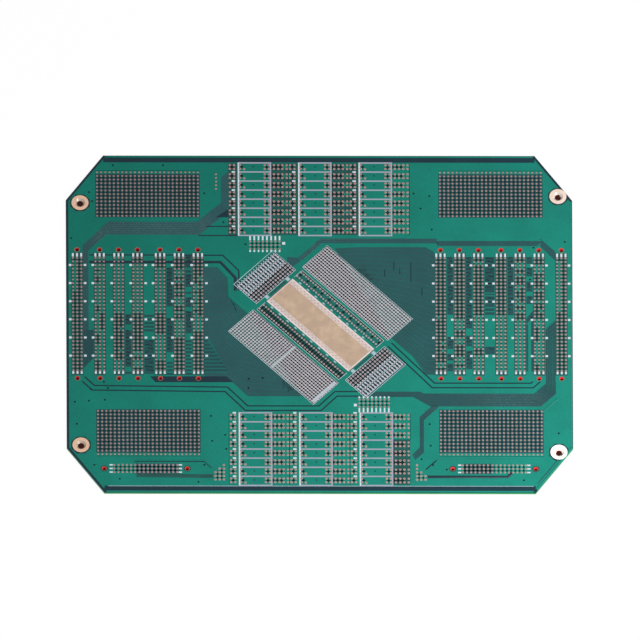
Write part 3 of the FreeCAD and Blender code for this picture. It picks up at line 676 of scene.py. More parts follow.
def rows_of(x, y, columns, rows):
    return [(x + (i - (columns - 1) / 2) * PITCH, y + (j - (rows - 1) / 2) * PITCH)
            for j in range(rows) for i in range(columns)]


# Finishes


def screen(red, green, blue):
    return (*tone(red, green, blue), 1.0)


def picked(name):
    """A colour of the sidebar."""
    return (*getattr(bpy.context.scene.board_colours, name), 1.0)


def spread(tree, value, low_in, high_in, low_out, high_out):
    return node(tree, "ShaderNodeMapRange", {"Value": value, "From Min": low_in, "From Max": high_in,
                                             "To Min": low_out, "To Max": high_out})


def mixed(tree, factor, a, b):
    return node(tree, "ShaderNodeMix", {0: factor, 6: a, 7: b}, data_type="RGBA").outputs[2]


def noise(tree, place, scale, detail=2.0):
    return node(tree, "ShaderNodeTexNoise", {"Vector": place, "Scale": scale, "Detail": detail}).outputs["Fac"]


def clouds(tree, place, scale, detail, *limits):
    """Noise spread from one pair of limits to another."""
    return spread(tree, noise(tree, place, scale, detail), *limits)


def bumped(tree, height, strength, distance):
    return node(tree, "ShaderNodeBump", {"Strength": strength, "Distance": distance, "Height": height})


def glare(tree, place, amount):
    """A share that grows towards the front right of the board, used for painted glare and light there."""
    along = vectors(tree, "DOT_PRODUCT", {0: place, 1: (1.0, -1.0, 0.0)}).outputs["Value"]
    return spread(tree, along, -0.25, 0.25, 0.0, amount)


@lru_cache(maxsize=None)
def mottle_group():
    """Uneven solder mask: broad shade, fine grain and a shallow orange-peel surface."""
    group, given, result = new_tree("Mask Mottle", "ShaderNodeTree", {
        "Place": "Vector", "Colour": "Color", "Depth": "Float", "Peel": "Float"}, SURFACE)
    place = given["Place"]
    both = maths(group, "ADD", clouds(group, place, 45.0, 2.0, 0.3, 0.7, -1.0, 1.0),
                 clouds(group, place, 900.0, 1.0, 0.3, 0.7, -0.6, 0.6))
    swing = maths(group, "MULTIPLY_ADD", both, given["Depth"], 1.0)
    feed(group, result, {
        "Colour": vectors(group, "SCALE", {0: given["Colour"], "Scale": swing}),
        "Roughness": clouds(group, place, 220.0, 2.0, 0.3, 0.7, 0.30, 0.42),
        "Normal": bumped(group, noise(group, place, 600.0), given["Peel"], 0.00003)})
    return group


@lru_cache(maxsize=None)
def plating_group():
    """Tarnished plating: each land has its own shade, with fine stains over it."""
    group, given, result = new_tree("Plating Tarnish", "ShaderNodeTree", {
        "Place": "Vector", "Colour": "Color", "Stain": "Color", "Shade": "Float", "Depth": "Float"}, SURFACE)
    place = given["Place"]
    share = maths(group, "MULTIPLY", clouds(group, place, 260.0, 4.0, 0.35, 0.75, 0.0, 0.8), given["Shade"])
    share = maths(group, "MULTIPLY", share, given["Depth"])
    feed(group, result, {
        "Colour": mixed(group, share, given["Colour"], given["Stain"]),
        "Roughness": clouds(group, place, 700.0, 2.0, 0.3, 0.7, 0.38, 0.55),
        "Normal": bumped(group, noise(group, place, 1500.0), 0.25, 0.00002)})
    return group


@lru_cache(maxsize=None)
def painted_light_drift_group():
    """Painted light: the mask's slow change over the board, darker at the back left and paler at the front right, where
    the lamp falls.
    """
    group, given, result = new_tree("Painted Light Drift", "ShaderNodeTree", {
        "Place": "Vector", "Colour": "Color", "Amount": "Float"}, {"Colour": "Color"})
    place = node(group, "ShaderNodeSeparateXYZ", {"Vector": given["Place"]}).outputs
    along = maths(group, "MULTIPLY_ADD", place["Y"], -1.0, place["X"])
    near = maths(group, "MULTIPLY", spread(group, along, -0.2, 0.25, 0.0, 1.0), given["Amount"])
    paler = mixed(group, near, (0.82, 0.82, 0.82, 1.0), (1.34, 1.34, 1.34, 1.0))
    lit = vectors(group, "MULTIPLY", {0: given["Colour"], 1: paler})
    painted_light_tint = vectors(group, "SCALE", {0: (0.008, 0.016, 0.016), "Scale": near})
    feed(group, result, {"Colour": vectors(group, "ADD", {0: lit, 1: painted_light_tint})})
    return group


def grouped(tree, group, links):
    return node(tree, "ShaderNodeGroup", links, node_tree=group)


def plating(tree, place, colour, stain, shade, depth):
    return grouped(tree, plating_group(), {"Place": place, "Colour": colour, "Stain": screen(*stain),
                                           "Shade": shade, "Depth": depth})


def blank_finish(name):
    finish = bpy.data.materials.new(name)
    finish.use_nodes = True
    tree = finish.node_tree
    return finish, tree, tree.nodes["Principled BSDF"], node(tree, "ShaderNodeTexCoord").outputs["Object"]


def joined(tree, shader, group, others):
    """Feeds the shader from a group, and its other inputs from what is given beside it."""
    feed(tree, shader, {"Base Color": group.outputs["Colour"], "Roughness": group.outputs["Roughness"],
                        "Normal": group.outputs["Normal"], **others})


def masked(colour_name, depth, peel, specular, painted_light_amount):
    """A maker for solder mask over what lies below it, with painted light that pales it towards the front right."""

    def make(name):
        finish, tree, shader, place = blank_finish(name)
        # Painted light: the mask colour darkens towards the back left and pales towards the front right.
        painted_light_colour = grouped(tree, painted_light_drift_group(), {"Place": place, "Colour": picked(colour_name), "Amount": painted_light_amount})
        mottle = grouped(tree, mottle_group(), {"Place": place, "Colour": painted_light_colour, "Depth": depth, "Peel": peel})
        joined(tree, shader, mottle, {"Specular IOR Level": specular})
        return finish

    return make


def lined(name):
    """Mask over dense tracks: fine parallel lines that a seam of copper raises."""
    finish, tree, shader, place = blank_finish(name)
    mottle = grouped(tree, mottle_group(), {"Place": place, "Colour": picked("bundle"), "Depth": 0.12, "Peel": 0.3})
    slanted = node(tree, "ShaderNodeMapping", {"Vector": place, "Rotation": (0, 0, math.radians(45))})
    waves = node(tree, "ShaderNodeTexWave", {"Vector": slanted, "Scale": 290.0, "Distortion": 0.4,
                                             "Detail": 1.0}).outputs["Fac"]
    faint = spread(tree, waves, 0.0, 1.0, 0.0, 0.55)
    ridges = feed(tree, bumped(tree, waves, 0.4, 0.00004), {"Normal": mottle.outputs["Normal"]})
    joined(tree, shader, mottle, {"Base Color": mixed(tree, faint, mottle.outputs["Colour"], picked("bare")),
                                  "Normal": ridges, "Specular IOR Level": 0.3})
    return finish


def plated(colour_name, stain, depth, metallic):
    """A maker for plated lands, each with a shade of its own, paler towards the front right as painted glare."""

    def make(name):
        finish, tree, shader, place = blank_finish(name)
        own = node(tree, "ShaderNodeAttribute", attribute_name="shade").outputs["Fac"]
        # Painted glare: the plating pales towards the front right.
        lit = mixed(tree, glare(tree, place, 0.4), picked(colour_name), screen(216, 188, 178))
        joined(tree, shader, plating(tree, place, lit, stain, own, depth), {"Metallic": metallic})
        return finish

    return make


def brushed(colour_name, stain, metallic):
    """A maker for larger plated pieces, whose shade changes over the surface."""

    def make(name):
        finish, tree, shader, place = blank_finish(name)
        cloud = clouds(tree, place, 120.0, 3.0, 0.35, 0.65, 0.2, 1.0)
        joined(tree, shader, plating(tree, place, picked(colour_name), stain, cloud, 0.8), {"Metallic": metallic})
        return finish

    return make


def collar_finish(name):
    """Plated ring, glossy below its flat top, with painted shade and painted highlight: the bore is dark brown at the
    back and bright orange at the front right, the countersink pales from grey to near white, and the ring pales to near
    white towards the front right.
    """
    finish, tree, shader, place = blank_finish(name)
    height = node(tree, "ShaderNodeSeparateXYZ", {"Vector": place}).outputs["Z"]
    flat = spread(tree, height, (COLLAR_TOP - 0.06) * MM, (COLLAR_TOP - 0.01) * MM, 0.0, 1.0)
    sunk = spread(tree, height, (COLLAR_TOP - 1.3) * MM, (COLLAR_TOP - 1.1) * MM, 0.0, 1.0)
    cloud = clouds(tree, place, 120.0, 3.0, 0.35, 0.65, 0.2, 1.0)
    front = spread(tree, glare(tree, place, 1.0), 0.4, 0.95, 0.0, 1.0)
    # Painted highlight: the ring pales to near white towards the front right.
    warm = mixed(tree, front, picked("collar"), screen(250, 246, 242))
    ring = plating(tree, place, warm, (196, 156, 132), cloud, 0.5)
    # Painted shade in the bore, and painted highlight on the bore and countersink towards the front right.
    bore = mixed(tree, front, screen(62, 28, 22), screen(214, 96, 66))
    cone = mixed(tree, front, screen(176, 160, 146), screen(250, 246, 242))
    joined(tree, shader, ring, {
        "Base Color": mixed(tree, flat, mixed(tree, sunk, bore, cone), ring.outputs["Colour"]),
        "Roughness": spread(tree, flat, 0.0, 1.0, 0.22, 0.5), "Metallic": 0.3})
    return finish


def glowing_barrel_finish(name):
    """Copper lining of the guide holes with a painted glow: it turns bright red and emits light towards the front
    right, though it is no lamp.
    """
    finish, tree, shader, place = blank_finish(name)
    cloud = clouds(tree, place, 300.0, 3.0, 0.35, 0.65, 0.2, 1.0)
    lining = plating(tree, place, picked("barrel"), (132, 14, 26), cloud, 0.6)
    # Painted glow: emitted light and a brighter red towards the front right.
    warm = mixed(tree, glare(tree, place, 1.0), lining.outputs["Colour"], screen(240, 72, 56))
    joined(tree, shader, lining, {"Emission Color": warm, "Emission Strength": glare(tree, place, 0.55)})
    return finish


def hole_shade_finish(name):
    finish, tree, shader, place = blank_finish(name)
    # Painted shade: the disc in each land's hole is dark red-brown, standing for the shade of the hole's depth.
    light = clouds(tree, place, 400.0, 2.0, 0.3, 0.7, 0.0, 1.0)
    feed(tree, shader, {"Base Color": mixed(tree, light, picked("hole"), screen(66, 34, 30)), "Roughness": 0.7,
                        "Specular IOR Level": 0.1})
    return finish


def printed(colour_name, worn):
    """A maker for printed ink, thin in places, so that the mask shows through a little."""

    def make(name):
        finish, tree, shader, place = blank_finish(name)
        thin = clouds(tree, place, 500.0, 4.0, 0.5, 0.8, 0.0, 0.5)
        feed(tree, shader, {"Base Color": mixed(tree, thin, picked(colour_name), screen(*worn)),
                            "Roughness": clouds(tree, place, 900.0, 2.0, 0.3, 0.7, 0.55, 0.75),
                            "Normal": bumped(tree, noise(tree, place, 1200.0), 0.3, 0.00002)})
        return finish

    return make


# masked() takes the colour, mottle depth, peel, specular and the amount of painted light.
FINISHES = {
    "masked copper": masked("pour", 0.08, 0.35, 0.14, 0.9),
    "laminate edge": masked("edge", 0.1, 0.2, 0.3, 0.3),
    "masked comb": masked("comb", 0.12, 0.3, 0.2, 0.5),
    "masked deep": masked("window", 0.08, 0.35, 0.2, 0.4),
    "masked laminate": masked("bare", 0.12, 0.35, 0.2, 0.4),
    "masked window": masked("window", 0.12, 0.35, 0.2, 0.4),
    "masked field": masked("field", 0.12, 0.35, 0.2, 0.6),
    "dark void": masked("void", 0.12, 0.2, 0.1, 0.2),
    "masked tracks": lined,
    "plated land": plated("land", (150, 112, 104), 0.8, 0.1),
    "strip plating": plated("strip", (150, 120, 118), 0.7, 0.1),
    "pale plating": plated("pale", (150, 132, 132), 0.7, 0.2),
    "shaded drilled hole": hole_shade_finish,
    "legend ink": printed("ink", (150, 178, 184)),
    "ladder ink": printed("ladder", (120, 132, 148)),
    "faded ink": printed("faded", (96, 140, 144)),
    "finger plating": brushed("finger", (210, 186, 172), 0.05),
    "finger marks": brushed("land", (196, 164, 156), 0.05),
    "tan plate": brushed("plate", (196, 170, 142), 0.05),
    "bright plating": brushed("bright", (214, 196, 190), 0.05),
    "guide rim": brushed("rim", (120, 40, 40), 0.1),
    "glowing guide barrel": glowing_barrel_finish,
    "collar metal": collar_finish,
}


@lru_cache(maxsize=None)
def finish_for(name):
    return FINISHES[name](name)


# Pieces


def settle(piece, slot, *nodes):
    """Fixes a finished piece to the board, and hides the nodes that it stands for."""
    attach(piece, "root")
    if nodes:
        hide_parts(*nodes)
    return piece


def lay(name, outlines, base, top, finish, slot, *nodes):
    """Thin plates fixed to the board."""
    return settle(sheet(name, outlines, base, top, finish), slot, *nodes)


def guide_places():
    places = []
    for x in EAST:
        places += [(side * x, y) for side in (1, -1) for y in (UPPER, LOWER)]
    for x in (SMALL_X, -SMALL_X):
        places += [(x - SMALL_GUIDE_REACH, SMALL_Y), (x + SMALL_GUIDE_REACH, SMALL_Y)]
    return places


def row_y(row):
    """Height on the board of a connector row counted from the top, parts of a row included."""
    return CONNECTOR_Y + ((CONNECTOR_ROWS - 1) / 2 - row) * PITCH


def connector_x(side, number):
    return EAST[number - 1] * (1 if side == "east" else -1)


def diamond(x, y, reach, turn=0.0):
    return circle(x, y, reach, 4, turn)


def between_four(x, y, columns, rows):
    """The middles between neighbouring lands of a field."""
    return rows_of(x, y, columns - 1, rows - 1)


def ladders(side):
    """Left, right and top edges of a side's ladder frames."""
    edges = []
    for i in (1, 2, 3):
        name = f"channel_frame_{side}_{i}"
        edges.append((low(name).x, high(name).x, middle(name).y + CELL * CELLS / 2))
    return edges


def void_plates(name, places, base, reach=VOID_REACH, turn=0.0):
    """Small dark diamonds between lands."""
    plates = [diamond(x, y, reach, turn) for x, y in places]
    return lay(name, plates, base, base + SKIN, "dark void", "laminate")


class BOARD_OT_laminate(bpy.types.Operator):
    """Make the drilled laminate and the lined guide holes"""

    bl_idname = "board.laminate"
    bl_label = "Laminate"

    def execute(self, context):
        holes = [circle(x, y, GUIDE_RADIUS, 24) for x, y in guide_places()]
        for corner in CORNERS:
            place = middle(f"mount_collar_{corner}")
            holes.append(circle(place.x, place.y, COLLAR_RADIUS, 42))
        core = drilled_board("drilled_laminate", board_outline(), holes, UNDER_SKIN, FRONT,
                             "masked laminate", "laminate edge")
        settle(core, "laminate", "board_laminate")
        wall = [(1.0, 0.0), (BARREL_RADIUS, 0.0), (BARREL_RADIUS, COPPER_TOP), (1.34, COPPER_TOP)]
        rim = [(r, COPPER_TOP + 0.03 * up) for r, up in ((1.3, 0), (RIM_RADIUS, 0), (RIM_RADIUS, 1), (1.3, 1))]
        for name, profile, finish in (("guide_hole_barrels", wall, "glowing guide barrel"),
                                      ("guide_hole_rims", rim, "guide rim")):
            piece = rings(name, [(place, profile) for place in guide_places()], finish)
            settle(piece, "collar_metal")
        return {"FINISHED"}


class BOARD_OT_window_floors(bpy.types.Operator):
    """Make the dark mask in the windows of the copper, with the darker fields between lands"""

    bl_idname = "board.window_floors"
    bl_label = "Window Floors"

    def execute(self, context):
        floors, grounds, voids = [], [], []
        for x in EAST:
            for side in (1, -1):
                floors.append(rectangle(side * x, CONNECTOR_Y, 2 * PITCH + 2.0, 2 * GUIDE_REACH - 3.4))
                voids += between_four(side * x, CONNECTOR_Y, 3, CONNECTOR_ROWS)
        for corner in CORNERS:
            place = middle(f"land_grid_{corner}")
            grounds.append(rectangle(place.x, place.y, (GRID_COLUMNS - 1) * PITCH + 2.0,
                                     (GRID_ROWS - 1) * PITCH + 2.0))
            shift = -PITCH / 2 if corner[0] == "n" else PITCH / 2
            voids += between_four(place.x, place.y + shift, GRID_COLUMNS, GRID_ROWS - 1)
        for left, right, top in ladders("top"):
            bottom = top - CELL * CELLS
            floors.append(box_between(left - 5.6, bottom + 0.6, left - 0.2, top - 0.6))
            floors.append(box_between(right + 0.2, bottom + 0.6, right + 10.1, top - 0.6))
        left, right, top = ladders("bottom")[2]
        floors.append(box_between(right + 0.2, top - CELL * CELLS + 0.6, right + 10.1, top - CELL * 3))
        lay("grid_floors", grounds, FRONT, FRONT + SKIN, "masked field", "laminate")
        lay("window_floors", floors, FRONT, FRONT + SKIN, "masked window", "laminate")
        void_plates("window_voids", voids, FRONT + SKIN)
        return {"FINISHED"}


class BOARD_OT_connector_lands(bpy.types.Operator):
    """Make the drilled lands of the fourteen large connectors"""

    bl_idname = "board.connector_lands"
    bl_label = "Connector Lands"

    def execute(self, context):
        for side in SIDES:
            places = []
            for number in range(1, 8):
                places += rows_of(connector_x(side, number), CONNECTOR_Y, 3, CONNECTOR_ROWS)
            lands(f"connector_lands_{side}", places, FRONT, *[f"connector_{side}_{i}" for i in range(1, 8)])
        return {"FINISHED"}


class BOARD_OT_connector_copper(bpy.types.Operator):
    """Make the copper that passes between the connector lands, and the bare fields between connectors"""

    bl_idname = "board.connector_copper"
    bl_label = "Connector Copper"

    def execute(self, context):
        for side in SIDES:
            bridges, dark, fine, strokes = [], [], [], []
            for number, columns in BRIDGES[side].items():
                x = connector_x(side, number)
                for shift, spans in zip((-PITCH / 2, PITCH / 2), columns):
                    for first, last in spans:
                        top, bottom = row_y(first - 0.3), row_y(last + 0.3)
                        bridges.append(rectangle(x + shift, (top + bottom) / 2, BRIDGE_WIDTH, top - bottom))
            lay(f"copper_bridges_{side}", bridges, FRONT, COPPER_TOP, "masked copper", "masked_copper")
            for number, spans in BARE_ZONES[side].items():
                left, right = sorted((connector_x(side, number), connector_x(side, number + 1)))
                for first, last, *combed in spans:
                    if combed:
                        rows = range(math.ceil(first), math.floor(last) + 1)
                        dark += [box_between(left + 3.9, row_y(r) - 0.8, right - 3.9, row_y(r) + 0.8) for r in rows]
                    else:
                        dark.append(box_between(left + 3.9, row_y(last), right - 3.9, row_y(first)))
                        rows = [r for r in range(math.ceil(first), math.floor(last)) if (3 * r + 2 * number) % 5 > 1]
                        fine += [rectangle((left + right) / 2 + r % 3 - 1, row_y(r + 0.5), right - left - 10.2, 0.42)
                                 for r in rows]
                        reach = right - left - 8.4
                        strokes += [self.stroke(left + 4.2, reach, row, number)
                                    for row in range(math.ceil(first), int(last))]
            dark += SIDE_PATCHES[side]
            lay(f"bare_fields_{side}", dark, COPPER_TOP, BARE_TOP, "masked field", "laminate")
            lay(f"field_tracks_{side}", fine, BARE_TOP, FINE_TOP, "masked comb", "masked_copper")
            tracks(f"field_strokes_{side}", strokes, BARE_TOP, 0.5, SKIN, "dark void", "laminate")
        outlines, holes = [], []
        for x in EAST:
            for side in (1, -1):
                for y, inward in ((UPPER, -1), (LOWER, 1)):
                    ends = sorted((y + inward * 2.2, y - inward * 2.04))
                    outlines.append(box_between(side * x - 4.1, ends[0], side * x + 4.1, ends[1]))
                    holes.append(circle(side * x, y, GUIDE_RADIUS, 24))
        ends = drilled_board("guide_hole_copper", outlines[0], outlines[1:] + holes, FRONT, COPPER_TOP - 0.01,
                             "masked copper")
        settle(ends, "masked_copper")
        ramp = [(-FACE - 0.1, row_y(31.7)), (-55.0, row_y(31.7)), (-66.5, row_y(22.4)), (-FACE - 0.1, row_y(22.4))]
        lay("comb_copper", [ramp], FRONT, COPPER_TOP, "masked comb", "masked_copper")
        comb = [box_between(-FACE - 0.1, row_y(r) - 0.75, -67.5 + (r - 23) * 1.5, row_y(r) + 0.75)
                for r in range(23, 32)]
        lay("bare_comb", comb, COPPER_TOP, BARE_TOP, "masked field", "laminate")
        return {"FINISHED"}

    def stroke(self, start, reach, row, number):
        """A short dark line from one side of a field, bent up or down at its end."""
        share = ((7 * row + 3 * number) % 10) / 10
        bend = start + reach * (0.25 + 0.5 * share)
        drop = 0.9 if (row + number) % 3 else -0.9
        path = [(start, row_y(row)), (bend, row_y(row)), (bend + 0.9, row_y(row) + drop)]
        if (row * number) % 2:
            path = [(2 * start + reach - x, y) for x, y in path]
        return path


class BOARD_OT_grid_lands(bpy.types.Operator):
    """Make the drilled lands of the four open grids, one row of each standing on copper"""

    bl_idname = "board.grid_lands"
    bl_label = "Grid Lands"

    def execute(self, context):
        strips = []
        for corner in CORNERS:
            name = f"land_grid_{corner}"
            place = middle(name)
            outward = 1 if corner[0] == "n" else -1
            edge = place.y + outward * 6 * PITCH
            inner = rows_of(place.x, place.y - outward * PITCH / 2, GRID_COLUMNS, GRID_ROWS - 1)
            lands(f"grid_lands_{corner}", inner, FRONT, name, kind="grid_")
            outer = rows_of(place.x, edge, GRID_COLUMNS, 1)
            lands(f"grid_edge_lands_{corner}", outer, COPPER_TOP, kind="grid_")
            strips.append(rectangle(place.x, edge + outward * 0.1, (GRID_COLUMNS - 1) * PITCH + 2.1, 2.3))
        lay("grid_copper_strips", strips, FRONT, COPPER_TOP, "masked copper", "masked_copper")
        return {"FINISHED"}


class BOARD_OT_channels(bpy.types.Operator):
    """Make the lands, copper and marks in and beside the channel ladders"""

    bl_idname = "board.channels"
    bl_label = "Channel Ladders"

    def execute(self, context):
        bare, raised, fills, dots = [], [], [], []
        voids, low_voids, ticks, bars, lights = [], [], [], [], []
        for side in ("top", "bottom"):
            inner = []
            for block, (left, right, top) in enumerate(ladders(side)):
                lit = side == "bottom"
                lit_after = lit or block == 2
                bottom = top - CELL * CELLS
                if lit:
                    fills.append(box_between(left - 6.0, bottom + 0.5, left + 0.1, top - 0.5))
                if lit_after:
                    floor = bottom + CELL * 5 if lit and block == 2 else bottom
                    fills.append(box_between(right - 0.1, floor + 0.5, right + 10.5, top - 0.5))
                bars.append(box_between(left, bottom, left + 0.95, top))
                for cell in range(CELLS):
                    y = top - CELL * cell
                    upper, lower, mid = y - 1.5, y - 4.1, y - 2.8
                    before = [(left + dx, at_y) for dx in (-4.75, -2.2) for at_y in (upper, lower)]
                    after = [(right + dx, at_y) for dx in (1.6, 4.2, 6.7, 9.3) for at_y in (upper, lower)]
                    after_lit = lit_after and not (lit and block == 2 and cell > 2)
                    (raised if lit else bare).extend(before)
                    (raised if after_lit else bare).extend(after)
                    (voids if lit else low_voids).append((left - 3.5, mid))
                    (voids if after_lit else low_voids).extend([(right + dx, mid) for dx in (0.45, 2.9, 5.45)])
                    if not lit_after:
                        lights += [diamond(right + dx, mid, 1.25) for dx in (8.0, 10.5)]
                    inner += [(left + dx, at_y) for dx in (1.35, 16.3, 18.8) for at_y in (upper, lower)]
                    inner.append((left + 3.9, lower - 0.3))
                    voids += [(left + 17.55, mid - 0.2), (left + 2.5, mid + 0.1)]
                    if cell or lit:
                        ticks.append((left - 2.6, y))
                    if (3 * block + 5 * cell) % 4 != 1:
                        dots.append((left + 9.4 + block % 2, mid + 0.2))
            lands(f"channel_inner_lands_{side}", inner, COPPER_TOP, kind="small_")
        lands("channel_bare_lands", bare, FRONT, "channel_lands_top", "channel_lands_bottom", kind="small_")
        lands("channel_raised_lands", raised, COPPER_TOP, kind="small_")
        lay("channel_copper", fills, FRONT, COPPER_TOP, "masked copper", "masked_copper")
        lay("channel_copper_spots", lights, FRONT, COPPER_TOP, "masked copper", "masked_copper")
        void_plates("channel_voids", voids, COPPER_TOP, 1.15)
        void_plates("channel_low_voids", low_voids, FRONT + SKIN, 1.35)
        void_plates("channel_vias", dots, COPPER_TOP, 0.55, math.pi / 4)
        marks("channel_ticks", ticks, COPPER_TOP, 2.0, 1.1, 0.05)
        lay("ladder_edges", bars, COPPER_TOP + 0.05, COPPER_TOP + 0.06, "legend ink", "legend_ink")
        return {"FINISHED"}


class BOARD_OT_small_lands(bpy.types.Operator):
    """Make the lands and bars of the small connectors, headers, clusters and test row"""

    bl_idname = "board.small_lands"
    bl_label = "Small Lands"

    def execute(self, context):
        voids, bars, dashes = [], [], []
        for name, columns in (("small_connector_sw", 16), ("small_connector_se", 16),
                              ("header_top", 8), ("header_bottom", 8)):
            place = middle(name)
            lands(f"{name}_lands", rows_of(place.x, place.y, columns, 3), COPPER_TOP, name)
            voids += between_four(place.x, place.y, columns, 3)
            if columns == 16:
                dashes += [(place.x + end * 20.9, place.y + row * PITCH) for end in (-1, 1) for row in (-1, 0, 1)]
            else:
                outward = 1 if place.y > 0 else -1
                bars += [(place.x + (i - 3.5) * PITCH, place.y + outward * 4.9, 3.0) for i in range(8)]
                bars += [(place.x + (i - 3.5) * PITCH, place.y - outward * 4.1, 1.3) for i in range(8)]
        for side, heights in (("west", (3, 4, 5)), ("east", (5, 3, 2))):
            name = f"land_cluster_{side}"
            left, bottom = low(name).x + 0.75, low(name).y + 0.75
            places = [(left + PITCH * i, bottom + PITCH * j) for i, tall in enumerate(heights) for j in range(tall)]
            lands(f"{name}_dots", places, COPPER_TOP, name, kind="small_")
            voids += [(left + PITCH * (i + 0.5), bottom + PITCH * (j + 0.5))
                      for i in (0, 1) for j in range(min(heights[i], heights[i + 1]) - 1)]
        row = middle("test_row_lands")
        lands("test_row_dots", rows_of(row.x, row.y, 1, 5), COPPER_TOP, "test_row_lands")
        void_plates("small_land_voids", voids, COPPER_TOP)
        plates = [rectangle(x, y, 1.0, tall) for x, y, tall in bars] + [rectangle(x, y, 2.0, 0.95) for x, y in dashes]
        plates += [rectangle(x, y, 1.8, 1.8) for x, y in ((-21.4, 56.6), (21.5, -56.6))]
        lay("small_land_bars", plates, COPPER_TOP, INK_TOP, "legend ink", "legend_ink")
        return {"FINISHED"}


def turned_box(along, across, length, width):
    """The corners of a rectangle in the contact area's own frame."""
    return [turned(along + a * length / 2, across + b * width / 2) for a, b in ((-1, -1), (1, -1), (1, 1), (-1, 1))]


def turned_frame(along, across, length, width):
    box = turned_box(along, across, length, width)
    return box + box[:1]


